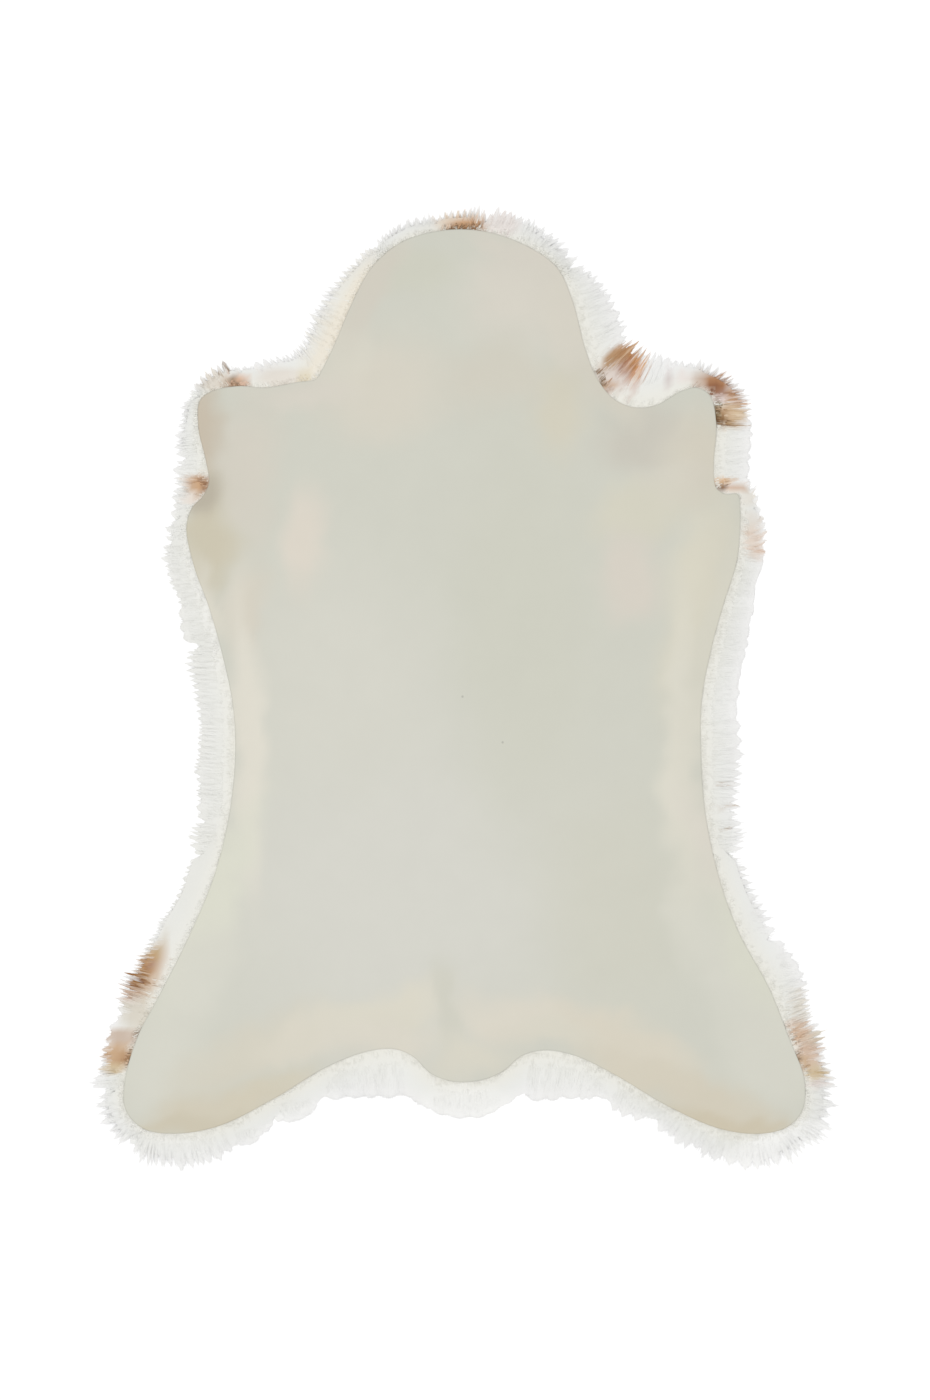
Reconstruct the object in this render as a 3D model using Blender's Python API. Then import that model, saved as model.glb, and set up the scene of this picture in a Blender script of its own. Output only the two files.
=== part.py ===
"""A reindeer hide lying hair side down: the tanned skin, and the winter coat that it lies on.

The hide lies along Y with its head end towards +Y and its flesh side up. Lengths are in metres.
"""

import random

import bmesh
import bpy
from mathutils import Vector, geometry, noise

MM = 0.001

# The skin, and how it lies on the hair
SKIN_THICKNESS = 2.0 * MM
SKIN_GAP = 0.3 * MM          # clearance between the skin and the hair under it
PILE_MIDDLE = 26.0 * MM      # hair pressed down under the middle of the skin
PILE_EDGE = 14.0 * MM        # hair under the skin's edge
ROLL_WIDTH = 50.0 * MM       # how far in from its edge the skin starts to droop
ROLL_WIDTH_FEET = 80.0 * MM  # the same at the shoulders and the feet
ROLL_FROM = 330.0 * MM       # distance from the middle at which the droop starts to widen
ROLL_OVER = 300.0 * MM       # the length over which it widens
WAVE_HEIGHT = 2.4 * MM       # soft unevenness of the skin
WAVE_LENGTH = 210.0 * MM

# The rim of hair outside the skin, as rings between the skin's edge and the lock roots
#  part of the way, height, points
RIM_RINGS = (
    (0.36, 14.5 * MM, 140),
    (0.68, 12.5 * MM, 140),
    (1.00, 9.0 * MM, 280),
)
LOCK_COUNT = RIM_RINGS[-1][2]
LUMP_HEIGHT = 3.4 * MM
LUMP_LENGTH = 40.0 * MM

# Locks of hair, whose roots and tips lie at shares of the way from skin edge to hair line
SOFT_ROOT = 0.88             # where locks part on a soft, scalloped rim
POINTED_ROOT = 0.70          # where they part on a pointed one
MEAN_REACH = 1.01
SHORTEST = 0.16              # how much less, and more, than the mean a pointed lock reaches
LONGEST = 0.24
CLUMP_SWELL = 0.16           # how much whole clumps reach further or less
CLUMP_LENGTH = 45.0 * MM
CLUMP_SIZES = (2, 3, 3, 4)   # neighbouring locks that lean to each other
CLUMP_LEAN = 0.55
LOOSE_LEAN = 0.20
BELLY_HEIGHT = 0.72          # height of a lock's belly, as a share of its root's
TIP_RISE = 2.0 * MM
LOCK_SEED = 7

# The underside
HOLLOW_DEPTH = 7.0 * MM      # hollows between the clumps of hair
HOLLOW_LENGTH = 110.0 * MM
HOLLOW_FROM = 0.06           # the share of the clump pattern that stays flat on the floor
FOOT_RADIUS = 110.0 * MM     # flat patch under the middle, which the hide rests on

# Fineness of the surfaces
SKIN_EDGE_STEP = 20.0 * MM   # along the skin's edge
FINE_GRID = 24.0 * MM        # near the skin's edge, where it droops
COARSE_STEP = 2              # every second point of the fine grid further in
FINE_GRID_DEPTH = 52.0 * MM
GRID_MARGIN = 11.0 * MM
FLOOR_GRID = 44.0 * MM
FLOOR_MARGIN = 22.0 * MM
CURVE_STEPS = 10             # samples of the outline between two stations
MERGE = 1e-7                 # points this close would be one
SHARPEST_SMOOTH = 0.6        # faces that meet at more than this angle, in radians, keep an edge

# Stations down both sides of the hide, from the head to the tail, in millimetres from its
# middle. The skin's edge is where the hide was cut. The hair line is where its tips end.
# Ragged says how uneven the locks are there: 0 is a soft scalloped rim, 1 is pointed tufts.
#  place              skin, right   hair, right   skin, left    hair, left    ragged
STATIONS = (
    ("crown",         (19, 570),    (29, 597),    (-31, 570),   (-24, 593),   0.55),
    ("brow",          (69, 555),    (82, 583),    (-79, 556),   (-79, 579),   0.55),
    ("cheek",         (114, 525),   (138, 537),   (-116, 525),  (-140, 531),  0.60),
    ("jaw",           (134, 484),   (176, 497),   (-141, 480),  (-178, 487),  0.60),
    ("neck",          (150, 424),   (198, 452),   (-164, 426),  (-197, 446),  0.60),
    ("neck foot",     (165, 386),   (211, 431),   (-179, 396),  (-209, 425),  0.50),
    ("neck corner",   (185, 361),   (227, 417),   (-186, 385),  (-222, 415),  0.35),
    ("collar",        (209, 350),   (245, 412),   (-209, 381),  (-243, 410),  0.35),
    ("collar side",   (238, 352),   (265, 407),   (-250, 374),  (-273, 402),  0.50),
    ("shoulder rise", (271, 370),   (292, 407),   (-281, 376),  (-303, 404),  0.70),
    ("shoulder top",  (290, 374),   (319, 394),   (-315, 370),  (-331, 386),  0.85),
    ("shoulder tip",  (306, 364),   (348, 371),   (-331, 358),  (-350, 359),  0.80),
    ("upper arm",     (314, 328),   (359, 328),   (-333, 324),  (-359, 318),  0.55),
    ("fore arm",      (311, 278),   (356, 286),   (-324, 284),  (-360, 279),  0.45),
    ("armpit",        (314, 249),   (356, 259),   (-320, 255),  (-364, 254),  0.60),
    ("armpit corner", (326, 241),   (363, 246),   (-328, 238),  (-365, 238),  0.70),
    ("elbow",         (341, 241),   (368, 232),   (-341, 224),  (-366, 218),  0.70),
    ("chest",         (344, 221),   (374, 207),   (-348, 199),  (-374, 190),  0.70),
    ("front ribs",    (340, 159),   (374, 151),   (-338, 149),  (-372, 144),  0.55),
    ("ribs",          (324, 106),   (361, 101),   (-321, 103),  (-358, 97),   0.35),
    ("back ribs",     (309, 52),    (352, 49),    (-304, 44),   (-347, 40),   0.65),
    ("front waist",   (296, -16),   (343, -16),   (-290, -23),  (-336, -23),  0.80),
    ("waist",         (295, -79),   (345, -79),   (-287, -85),  (-336, -85),  0.80),
    ("back waist",    (300, -154),  (342, -163),  (-294, -156), (-335, -161), 0.85),
    ("flank",         (315, -229),  (354, -240),  (-313, -235), (-354, -245), 0.75),
    ("thigh front",   (341, -304),  (387, -306),  (-346, -314), (-397, -320), 0.80),
    ("thigh",         (380, -376),  (425, -369),  (-385, -391), (-432, -380), 0.90),
    ("shank",         (405, -439),  (441, -427),  (-408, -435), (-449, -441), 0.90),
    ("hock",          (424, -491),  (459, -494),  (-425, -493), (-459, -500), 1.00),
    ("heel",          (421, -530),  (456, -540),  (-424, -528), (-451, -539), 0.95),
    ("foot",          (402, -550),  (427, -576),  (-403, -551), (-422, -578), 0.85),
    ("foot hem",      (369, -558),  (375, -599),  (-366, -558), (-369, -599), 0.70),
    ("leg hem",       (319, -552),  (306, -588),  (-309, -549), (-304, -587), 0.45),
    ("inner leg",     (254, -524),  (238, -550),  (-238, -514), (-238, -550), 0.35),
    ("inner thigh",   (188, -485),  (184, -524),  (-175, -476), (-175, -521), 0.25),
    ("groin",         (138, -461),  (134, -515),  (-125, -456), (-125, -515), 0.15),
    ("groin top",     (100, -454),  (100, -515),  (-90, -452),  (-90, -514),  0.15),
    ("tail root",     (71, -461),   (73, -511),   (-66, -461),  (-64, -515),  0.20),
    ("tail side",     (48, -480),   (49, -525),   (-41, -484),  (-41, -530),  0.10),
    ("tail tip",      (21, -491),   (24, -538),   (-13, -493),  (-9, -539),   0.10),
)


def outline_stations():
    """The skin edge, hair line and raggedness at each station, once round the hide."""
    right = [(skin, hair, ragged) for _, skin, hair, _, _, ragged in STATIONS]
    left = [(skin, hair, ragged) for _, _, _, skin, hair, ragged in reversed(STATIONS)]
    loop = right + left
    skin_edge = [Vector(skin) * MM for skin, _, _ in loop]
    hair_line = [Vector(hair) * MM for _, hair, _ in loop]
    return skin_edge, hair_line, [ragged for _, _, ragged in loop]


SKIN_EDGE, HAIR_LINE, RAGGED = outline_stations()


def loop_point(stations, place):
    """A point of the smooth closed curve through the stations; place counts stations."""
    first = int(place // 1)
    share = place - first
    before, start, end, after = (stations[(first + k) % len(stations)] for k in (-1, 0, 1, 2))
    # Knots spaced by the root of the distance keep the curve from looping at close stations.
    k0 = -((start - before).length ** 0.5)
    k2 = (end - start).length ** 0.5
    k3 = k2 + (after - end).length ** 0.5
    k = share * k2
    a1 = before.lerp(start, (k - k0) / -k0)
    a2 = start.lerp(end, k / k2)
    a3 = end.lerp(after, (k - k2) / (k3 - k2))
    b1 = a1.lerp(a2, (k - k0) / (k2 - k0))
    b2 = a2.lerp(a3, k / k3)
    return b1.lerp(b2, k / k2)


def hair_point(place, share):
    """A point of the hair outside the skin: share 0 is the skin's edge, 1 is the hair line."""
    return loop_point(SKIN_EDGE, place).lerp(loop_point(HAIR_LINE, place), share)


def ragged_at(place):
    first = int(place // 1)
    near = RAGGED[first % len(RAGGED)]
    far = RAGGED[(first + 1) % len(RAGGED)]
    return near + (far - near) * (place - first)


def root_share(place):
    """Where the locks part at this place."""
    return SOFT_ROOT + (POINTED_ROOT - SOFT_ROOT) * ragged_at(place)


def rim_point(place, part):
    """A point of the rim: part 0 is the skin's edge, 1 is where the locks part."""
    return hair_point(place, part * root_share(place))


def even_places(part, count):
    """Places at even distances along the ring that runs at this part of the rim."""
    steps = len(SKIN_EDGE) * CURVE_STEPS
    points = [rim_point(k / CURVE_STEPS, part) for k in range(steps + 1)]
    travelled = [0.0]
    for start, end in zip(points, points[1:]):
        travelled.append(travelled[-1] + (end - start).length)
    found = []
    k = 0
    for wanted in (travelled[-1] * n / count for n in range(count)):
        while travelled[k + 1] <= wanted:
            k += 1
        share = (wanted - travelled[k]) / (travelled[k + 1] - travelled[k])
        found.append((k + share) / CURVE_STEPS)
    return found


def following_pairs(ring):
    """Each item of a closed ring with the one after it."""
    return list(zip(ring, ring[1:] + ring[:1]))


def ring_points(part, count):
    return [rim_point(place, part) for place in even_places(part, count)]


def skin_edge_points():
    """Points along the skin's edge, among them every station, so that its corners stay sharp."""
    ring = []
    for k, (start, end) in enumerate(following_pairs(SKIN_EDGE)):
        steps = max(1, round((end - start).length / SKIN_EDGE_STEP))
        ring += [rim_point(k + n / steps, 0.0) for n in range(steps)]
    return ring


def inside(point, ring):
    """Whether a point lies inside a ring, by the edges that a line to its right crosses."""
    odd = False
    for start, end in following_pairs(ring):
        if (start.y > point.y) != (end.y > point.y):
            crossing = start.x + (point.y - start.y) * (end.x - start.x) / (end.y - start.y)
            odd ^= crossing > point.x
    return odd


def depth_in(point, ring):
    """The distance from a point to the nearest edge of a ring."""
    best = float("inf")
    for start, end in following_pairs(ring):
        along = end - start
        share = (point - start).dot(along) / along.length_squared
        nearest = start + along * min(max(share, 0.0), 1.0)
        best = min(best, (point - nearest).length)
    return best


def hex_grid(ring, spacing, margin, fine_depth=float("inf")):
    """Staggered points inside a ring, thinned out past fine_depth from its edge."""
    low = Vector((min(p.x for p in ring), min(p.y for p in ring)))
    high = Vector((max(p.x for p in ring), max(p.y for p in ring)))
    row_height = spacing * 0.75 ** 0.5
    points = []
    for row in range(int((high.y - low.y) / row_height) + 1):
        for column in range(int((high.x - low.x) / spacing) + 1):
            point = low + Vector(((column + 0.5 * (row % 2)) * spacing, row * row_height))
            if not inside(point, ring):
                continue
            depth = depth_in(point, ring)
            kept = row % COARSE_STEP == 0 and (column + row // 2) % COARSE_STEP == 0
            if depth > margin and (depth < fine_depth or kept):
                points.append(point)
    return points


def faces_inside(faces, points, ring):
    """The triangles whose middles lie inside a ring."""
    kept = []
    for a, b, c in faces:
        if inside((points[a] + points[b] + points[c]) / 3.0, ring):
            kept.append((a, b, c))
    return kept


def triangulate(points, loops):
    """Triangles over the points that keep the loops' edges, inside the first loop."""
    edges = [pair for loop in loops for pair in following_pairs(loop)]
    made = geometry.delaunay_2d_cdt(points, edges, [], 0, MERGE, True)
    origin = [first[0] for first in made[3]]
    faces = [tuple(origin[corner] for corner in face) for face in made[2]]
    return faces_inside(faces, points, [points[k] for k in loops[0]])


def ease(share):
    """A smooth step from 0 to 1."""
    share = min(max(share, 0.0), 1.0)
    return share * share * (3.0 - 2.0 * share)


def unevenness(point, length):
    """A soft random wave between about -0.5 and 0.5, of this wave length."""
    return noise.noise(Vector((point.x / length, point.y / length, 0.0)))


def pile_height(point, depth):
    """Height of the hair under the skin; depth is how far in from the skin's edge."""
    outward = ease((point.length - ROLL_FROM) / ROLL_OVER)
    roll = ROLL_WIDTH + (ROLL_WIDTH_FEET - ROLL_WIDTH) * outward
    risen = 2.0 * ease(0.5 + 0.5 * depth / roll) - 1.0
    wave = WAVE_HEIGHT * unevenness(point, WAVE_LENGTH)
    return PILE_EDGE + (PILE_MIDDLE - PILE_EDGE) * risen + wave


def rim_height(point, height):
    """Height of the hair outside the skin: its ring's own, with waves and lumps."""
    wave = WAVE_HEIGHT * unevenness(point, WAVE_LENGTH)
    return height + wave + LUMP_HEIGHT * unevenness(point, LUMP_LENGTH)


def floor_height(point):
    """Height of the underside: flat on the floor, with hollows between clumps of hair."""
    if point.length < FOOT_RADIUS:
        return 0.0
    return max(0.0, HOLLOW_DEPTH * (unevenness(point, HOLLOW_LENGTH) - HOLLOW_FROM))


def new_material(name, colour, roughness):
    material = bpy.data.materials.new(name)
    material.use_nodes = True
    shader = material.node_tree.nodes["Principled BSDF"]
    shader.inputs["Base Color"].default_value = (*colour, 1.0)
    shader.inputs["Roughness"].default_value = roughness
    shader.inputs["Metallic"].default_value = 0.0
    return material


def new_object(name, builder, material, parent):
    """Makes the builder's closed surface an object, with its faces pointing outwards."""
    bmesh.ops.recalc_face_normals(builder, faces=builder.faces)
    mesh = bpy.data.meshes.new(name)
    builder.to_mesh(mesh)
    builder.free()
    mesh.materials.append(material)
    mesh.shade_smooth()
    mesh.set_sharp_from_angle(angle=SHARPEST_SMOOTH)
    made = bpy.data.objects.new(name, mesh)
    bpy.context.scene.collection.objects.link(made)
    made.parent = parent
    return made


def build_skin(points, heights, triangles, edge_loop, parent):
    """The skin: a sheet of even thickness over the triangles that lie inside its edge."""
    builder = bmesh.new()
    under = {}
    upper = {}
    for k in sorted({corner for face in triangles for corner in face}):
        z = heights[k] + SKIN_GAP
        under[k] = builder.verts.new((*points[k], z))
        upper[k] = builder.verts.new((*points[k], z + SKIN_THICKNESS))
    for a, b, c in triangles:
        builder.faces.new((upper[a], upper[b], upper[c]))
        builder.faces.new((under[c], under[b], under[a]))
    for a, b in following_pairs(edge_loop):
        builder.faces.new((upper[a], under[a], under[b], upper[b]))
    material = new_material("tanned_skin", (0.638, 0.631, 0.558), 0.85)
    return new_object("skin", builder, material, parent)


def clump_leans(draw):
    """How far each lock leans along the rim, so that a clump's locks lean to its middle."""
    leans = []
    while len(leans) < LOCK_COUNT:
        size = draw.choice(CLUMP_SIZES)
        leans += [1.0 - 2.0 * k / (size - 1) for k in range(size)]
    return leans[:LOCK_COUNT]


def lock_shape(place, next_place, clump_lean, root, draw):
    """Corners of a lock's belly, and its tip. It stays between its own two places."""
    ragged = ragged_at(place)
    middle = 0.5 * (place + next_place)
    half = 0.5 * (next_place - place)
    swell = CLUMP_SWELL * unevenness(hair_point(middle, 1.0), CLUMP_LENGTH)
    reach = MEAN_REACH + swell + ragged * draw.uniform(-SHORTEST, LONGEST)
    lean = ragged * (CLUMP_LEAN * clump_lean + draw.uniform(-LOOSE_LEAN, LOOSE_LEAN))
    fullness = 0.80 - 0.18 * ragged
    start = root_share(middle)
    belly_share = start + (reach - start) * (0.78 - 0.30 * ragged)
    belly = []
    for side, corner in zip((-1.0, 1.0, 1.0, -1.0), root):
        point = hair_point(middle + half * (side * fullness + 0.3 * lean), belly_share)
        belly.append(Vector((*point, corner.co.z * BELLY_HEIGHT)))
    tip = hair_point(middle + half * lean, reach)
    return belly, Vector((*tip, TIP_RISE * ragged * draw.random()))


def add_lock(builder, root, belly, tip):
    """Grows a four-sided lock from its root's corners, through its belly, to its tip."""
    ring = [builder.verts.new(point) for point in belly]
    end = builder.verts.new(tip)
    for k in range(4):
        following = (k + 1) % 4
        builder.faces.new((root[k], root[following], ring[following], ring[k]))
        builder.faces.new((ring[k], ring[following], end))


def add_floor(builder, rim):
    """The underside, inside a rim of points. Returns the corners along the rim."""
    points = rim + hex_grid(rim, FLOOR_GRID, FLOOR_MARGIN)
    lower = []
    for k, point in enumerate(points):
        z = 0.0 if k < len(rim) else floor_height(point)
        lower.append(builder.verts.new((*point, z)))
    for a, b, c in triangulate(points, [list(range(len(rim)))]):
        builder.faces.new((lower[c], lower[b], lower[a]))
    return lower[:len(rim)]


def build_pile(points, heights, triangles, parent):
    """The winter coat: a lumpy slab of hair, with locks standing out all round its rim.

    The first LOCK_COUNT points are the ring where the locks part.
    """
    builder = bmesh.new()
    upper = [builder.verts.new((*point, z)) for point, z in zip(points, heights)]
    for a, b, c in triangles:
        builder.faces.new((upper[a], upper[b], upper[c]))
    lower = add_floor(builder, points[:LOCK_COUNT])

    draw = random.Random(LOCK_SEED)
    places = even_places(1.0, LOCK_COUNT) + [float(len(SKIN_EDGE))]
    for k, clump_lean in enumerate(clump_leans(draw)):
        following = (k + 1) % LOCK_COUNT
        root = (upper[k], upper[following], lower[following], lower[k])
        belly, tip = lock_shape(places[k], places[k + 1], clump_lean, root, draw)
        add_lock(builder, root, belly, tip)
    material = new_material("winter_hair", (0.80, 0.78, 0.74), 0.9)
    return new_object("fur_pile", builder, material, parent)


def build_hide():
    """Lays out one set of points for both solids, so that the skin follows the hair."""
    points = []
    heights = []
    for part, height, count in reversed(RIM_RINGS):
        ring = ring_points(part, count)
        points += ring
        heights += [rim_height(point, height) for point in ring]
    edge_start = len(points)
    skin_edge = skin_edge_points()
    points += skin_edge
    heights += [pile_height(point, 0.0) for point in skin_edge]
    middle = hex_grid(skin_edge, FINE_GRID, GRID_MARGIN, FINE_GRID_DEPTH)
    points += middle
    heights += [pile_height(point, depth_in(point, skin_edge)) for point in middle]

    lock_loop = list(range(LOCK_COUNT))
    edge_loop = list(range(edge_start, edge_start + len(skin_edge)))
    triangles = triangulate(points, [lock_loop, edge_loop])
    under_skin = faces_inside(triangles, points, skin_edge)

    hide = bpy.data.objects.new("hide", None)
    bpy.context.scene.collection.objects.link(hide)
    pile = build_pile(points, heights, triangles, hide)
    build_skin(points, heights, under_skin, edge_loop, hide)

    # The hide's own origin is on the floor, under the middle of its length and width.
    across = [vertex.co.x for vertex in pile.data.vertices]
    along = [vertex.co.y for vertex in pile.data.vertices]
    hide.location.x = -0.5 * (min(across) + max(across))
    hide.location.y = -0.5 * (min(along) + max(along))


for old in list(bpy.data.objects):
    bpy.data.objects.remove(old, do_unlink=True)
build_hide()
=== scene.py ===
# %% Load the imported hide
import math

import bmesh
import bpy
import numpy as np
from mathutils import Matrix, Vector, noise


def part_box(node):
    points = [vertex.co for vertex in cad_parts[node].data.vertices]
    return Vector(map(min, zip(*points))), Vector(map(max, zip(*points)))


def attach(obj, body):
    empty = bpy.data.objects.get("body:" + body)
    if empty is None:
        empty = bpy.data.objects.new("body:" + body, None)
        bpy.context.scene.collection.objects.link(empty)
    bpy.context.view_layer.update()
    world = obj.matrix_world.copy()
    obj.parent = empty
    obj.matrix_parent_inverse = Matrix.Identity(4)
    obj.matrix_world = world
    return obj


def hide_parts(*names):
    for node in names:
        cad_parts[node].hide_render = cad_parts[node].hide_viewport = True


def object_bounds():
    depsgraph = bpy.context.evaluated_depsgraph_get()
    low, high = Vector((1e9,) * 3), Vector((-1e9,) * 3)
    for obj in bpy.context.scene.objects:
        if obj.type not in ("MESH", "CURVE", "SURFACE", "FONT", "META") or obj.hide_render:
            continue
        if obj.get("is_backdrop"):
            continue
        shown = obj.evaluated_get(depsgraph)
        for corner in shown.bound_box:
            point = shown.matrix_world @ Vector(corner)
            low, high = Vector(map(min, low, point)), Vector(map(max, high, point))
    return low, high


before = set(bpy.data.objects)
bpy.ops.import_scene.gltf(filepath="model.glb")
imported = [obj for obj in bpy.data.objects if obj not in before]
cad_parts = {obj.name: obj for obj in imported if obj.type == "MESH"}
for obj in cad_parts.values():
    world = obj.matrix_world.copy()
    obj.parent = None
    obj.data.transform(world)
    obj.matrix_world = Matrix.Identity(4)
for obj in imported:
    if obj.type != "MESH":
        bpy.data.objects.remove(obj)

# %% [markdown]
# # A reindeer hide, lying hair side down
#
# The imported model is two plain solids: the skin, and the winter coat that it lies on. This
# script dresses them. The skin becomes a thin sheet of suede, cut along the same outline. The
# coat becomes a soft undercoat with some 45,000 locks of hair over it, because hair that is
# only a bumpy surface never gets the broken, see-through edge of the real thing. Everything is
# in metres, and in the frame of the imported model.

MM = 0.001
packed_low, packed_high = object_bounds()


def print_box(title, low, high):
    """Prints the least and the greatest x, y and z of a box, in millimetres."""
    print(title, "box, mm:", [round(float(v) / MM, 1) for v in (*low, *high)])


print_box("packed", packed_low, packed_high)

# %% [markdown]
# ## The camera comes first
#
# The hide is seen from straight above, as on a copy stand. A long lens a good way up keeps the
# rim and the raised middle at nearly the same scale. The height follows from similar
# triangles: the picture's long side at the hide is to the distance as the sensor is to the
# lens.

# %% Camera, straight above
PICTURE_PIXELS = 1400                  # along the picture's long side
PIXEL = 1.25 * MM                      # what each of them spans at the hide
HIDE_LEVEL = 14.0 * MM                 # height at which that span holds
PICTURE_MIDDLE = (-2.98 * MM, -12.83 * MM)
LENS, SENSOR = 100.0, 36.0             # mm

camera_height = HIDE_LEVEL + PICTURE_PIXELS * PIXEL * LENS / SENSOR
bpy.ops.object.camera_add(location=(*PICTURE_MIDDLE, camera_height), rotation=(0, 0, 0))
camera = bpy.context.object
camera.name = "camera_overhead"
camera.data.lens = LENS
camera.data.sensor_width = SENSOR
bpy.context.scene.camera = camera
print("camera height, m:", round(camera_height, 3))

# %% [markdown]
# ## The outline
#
# A hide has no straight edges: the tanner's knife follows neck, shoulders, waist, legs and
# tail. Forty stations down each side give the skin's edge and the line where the hair's tips
# end, in millimetres from the hide's middle. A smooth curve through the stations then gives as
# many points as a piece needs.

# %% Stations down both sides, from head to tail
#  x and y of: skin, right; hair, right; skin, left; hair, left
STATIONS = np.array((
    (19, 570, 29, 597, -31, 570, -24, 593),         # crown
    (69, 555, 82, 583, -79, 556, -79, 579),         # brow
    (114, 525, 138, 537, -116, 525, -140, 531),     # cheek
    (134, 484, 176, 497, -141, 480, -178, 487),     # jaw
    (150, 424, 198, 452, -164, 426, -197, 446),     # neck
    (165, 386, 211, 431, -179, 396, -209, 425),     # neck foot
    (185, 361, 227, 417, -186, 385, -222, 415),     # neck corner
    (209, 350, 245, 412, -209, 381, -243, 410),     # collar
    (238, 352, 265, 407, -250, 374, -273, 402),     # collar side
    (271, 370, 292, 407, -281, 376, -303, 404),     # shoulder rise
    (290, 374, 319, 394, -315, 370, -331, 386),     # shoulder top
    (306, 364, 348, 371, -331, 358, -350, 359),     # shoulder tip
    (314, 328, 359, 328, -333, 324, -359, 318),     # upper arm
    (311, 278, 356, 286, -324, 284, -360, 279),     # fore arm
    (314, 249, 356, 259, -320, 255, -364, 254),     # armpit
    (326, 241, 363, 246, -328, 238, -365, 238),     # armpit corner
    (341, 241, 368, 232, -341, 224, -366, 218),     # elbow
    (344, 221, 374, 207, -348, 199, -374, 190),     # chest
    (340, 159, 374, 151, -338, 149, -372, 144),     # front ribs
    (324, 106, 361, 101, -321, 103, -358, 97),      # ribs
    (309, 52, 352, 49, -304, 44, -347, 40),         # back ribs
    (296, -16, 343, -16, -290, -23, -336, -23),     # front waist
    (295, -79, 345, -79, -287, -85, -336, -85),     # waist
    (300, -154, 342, -163, -294, -156, -335, -161),  # back waist
    (315, -229, 354, -240, -313, -235, -354, -245), # flank
    (341, -304, 387, -306, -346, -314, -397, -320), # thigh front
    (380, -376, 425, -369, -385, -391, -432, -380), # thigh
    (405, -439, 441, -427, -408, -435, -449, -441), # shank
    (424, -491, 459, -494, -425, -493, -459, -500), # hock
    (421, -530, 456, -540, -424, -528, -451, -539), # heel
    (402, -550, 427, -576, -403, -551, -422, -578), # foot
    (369, -558, 375, -599, -366, -558, -369, -599), # foot hem
    (319, -552, 306, -588, -309, -549, -304, -587), # leg hem
    (254, -524, 238, -550, -238, -514, -238, -550), # inner leg
    (188, -485, 184, -524, -175, -476, -175, -521), # inner thigh
    (138, -461, 134, -515, -125, -456, -125, -515), # groin
    (100, -454, 100, -515, -90, -452, -90, -514),   # groin top
    (71, -461, 73, -511, -66, -461, -64, -515),     # tail root
    (48, -480, 49, -525, -41, -484, -41, -530),     # tail side
    (21, -491, 24, -538, -13, -493, -9, -539),      # tail tip
))
STEPS = 12                             # points of the curve from one station to the next


def once_round(right, left):
    """The right side's columns going down, then the left side's coming back up."""
    return np.concatenate((STATIONS[:, right], STATIONS[::-1, left]))


print("stations:", len(STATIONS), "down each side")

# %% A smooth closed curve through stations
def part_way(start, end, share):
    """The value that lies this share of the way from start to end."""
    return start + (end - start) * share


def knot_gap(start, end):
    """The root of the distance keeps the curve from looping where stations are close."""
    return np.linalg.norm(end - start, axis=1)[:, None] ** 0.5


def smooth_loop(stations):
    """The closed curve through the stations, STEPS points from each to the next."""
    before, after = np.roll(stations, 1, 0), np.roll(stations, -2, 0)
    end = np.roll(stations, -1, 0)
    k0 = -knot_gap(before, stations)
    k2 = knot_gap(stations, end)
    k3 = k2 + knot_gap(end, after)
    found = []
    # the four stations have the knots k0, 0, k2 and k3; each step mixes two points of the last
    for share in np.arange(STEPS) / STEPS:
        k = share * k2
        a1 = part_way(before, stations, (k - k0) / -k0)
        a2 = part_way(stations, end, k / k2)
        a3 = part_way(end, after, (k - k2) / (k3 - k2))
        b1 = part_way(a1, a2, (k - k0) / (k2 - k0))
        b2 = part_way(a2, a3, k / k3)
        found.append(part_way(b1, b2, k / k2))
    return np.stack(found, 1).reshape(-1, 2)


# %% The two lines of the hide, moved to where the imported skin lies
SKIN_LINE = smooth_loop(once_round([0, 1], [4, 5]) * MM)
HAIR_LINE = smooth_loop(once_round([2, 3], [6, 7]) * MM)

skin_low, skin_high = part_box("skin")
HIDE_ORIGIN = (np.array(skin_low + skin_high)[:2] - SKIN_LINE.min(0) - SKIN_LINE.max(0)) / 2
SKIN_LINE += HIDE_ORIGIN
HAIR_LINE += HIDE_ORIGIN
print("hide's own origin in the frame, mm:", np.round(HIDE_ORIGIN / MM, 2))

# %% [markdown]
# ## How the hide lies
#
# Hair pressed under the middle holds the skin up by 26 mm. Towards its edge the skin droops,
# because there is less hair to hold it, and a slow wave keeps it from being flat. These are
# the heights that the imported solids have, so that what replaces them lies where they lie.

# %% Heights of the coat and the skin
SKIN_THICKNESS = 2.0 * MM
SKIN_GAP = 0.3 * MM                    # between the hair and the skin that lies on it
PILE_MIDDLE, PILE_EDGE = 26.0 * MM, 14.0 * MM            # height of the hair under the skin
ROLL_WIDTH, ROLL_WIDTH_FEET = 50.0 * MM, 80.0 * MM       # how far in the droop of the edge goes
ROLL_FROM, ROLL_OVER = 330.0 * MM, 300.0 * MM            # where it widens, from the hide's middle
WAVE_HEIGHT, WAVE_LENGTH = 2.4 * MM, 210.0 * MM


def ease(share):
    """A smooth step from 0 to 1."""
    share = np.clip(share, 0.0, 1.0)
    return share * share * (3.0 - 2.0 * share)


def unevenness(points, length, layer=0.0):
    """A soft random wave between about -0.5 and 0.5, of this wave length."""
    return np.array([noise.noise(Vector((x / length, y / length, layer))) for x, y in points])


def pile_height(points, depth):
    """Height of the hair under the skin; depth is how far in from the skin's edge."""
    own = points - HIDE_ORIGIN
    outward = ease((np.linalg.norm(own, axis=1) - ROLL_FROM) / ROLL_OVER)
    roll = part_way(ROLL_WIDTH, ROLL_WIDTH_FEET, outward)
    risen = 2.0 * ease(0.5 + 0.5 * depth / roll) - 1.0      # steep at the edge, level farther in
    return part_way(PILE_EDGE, PILE_MIDDLE, risen) + WAVE_HEIGHT * unevenness(own, WAVE_LENGTH)


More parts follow.
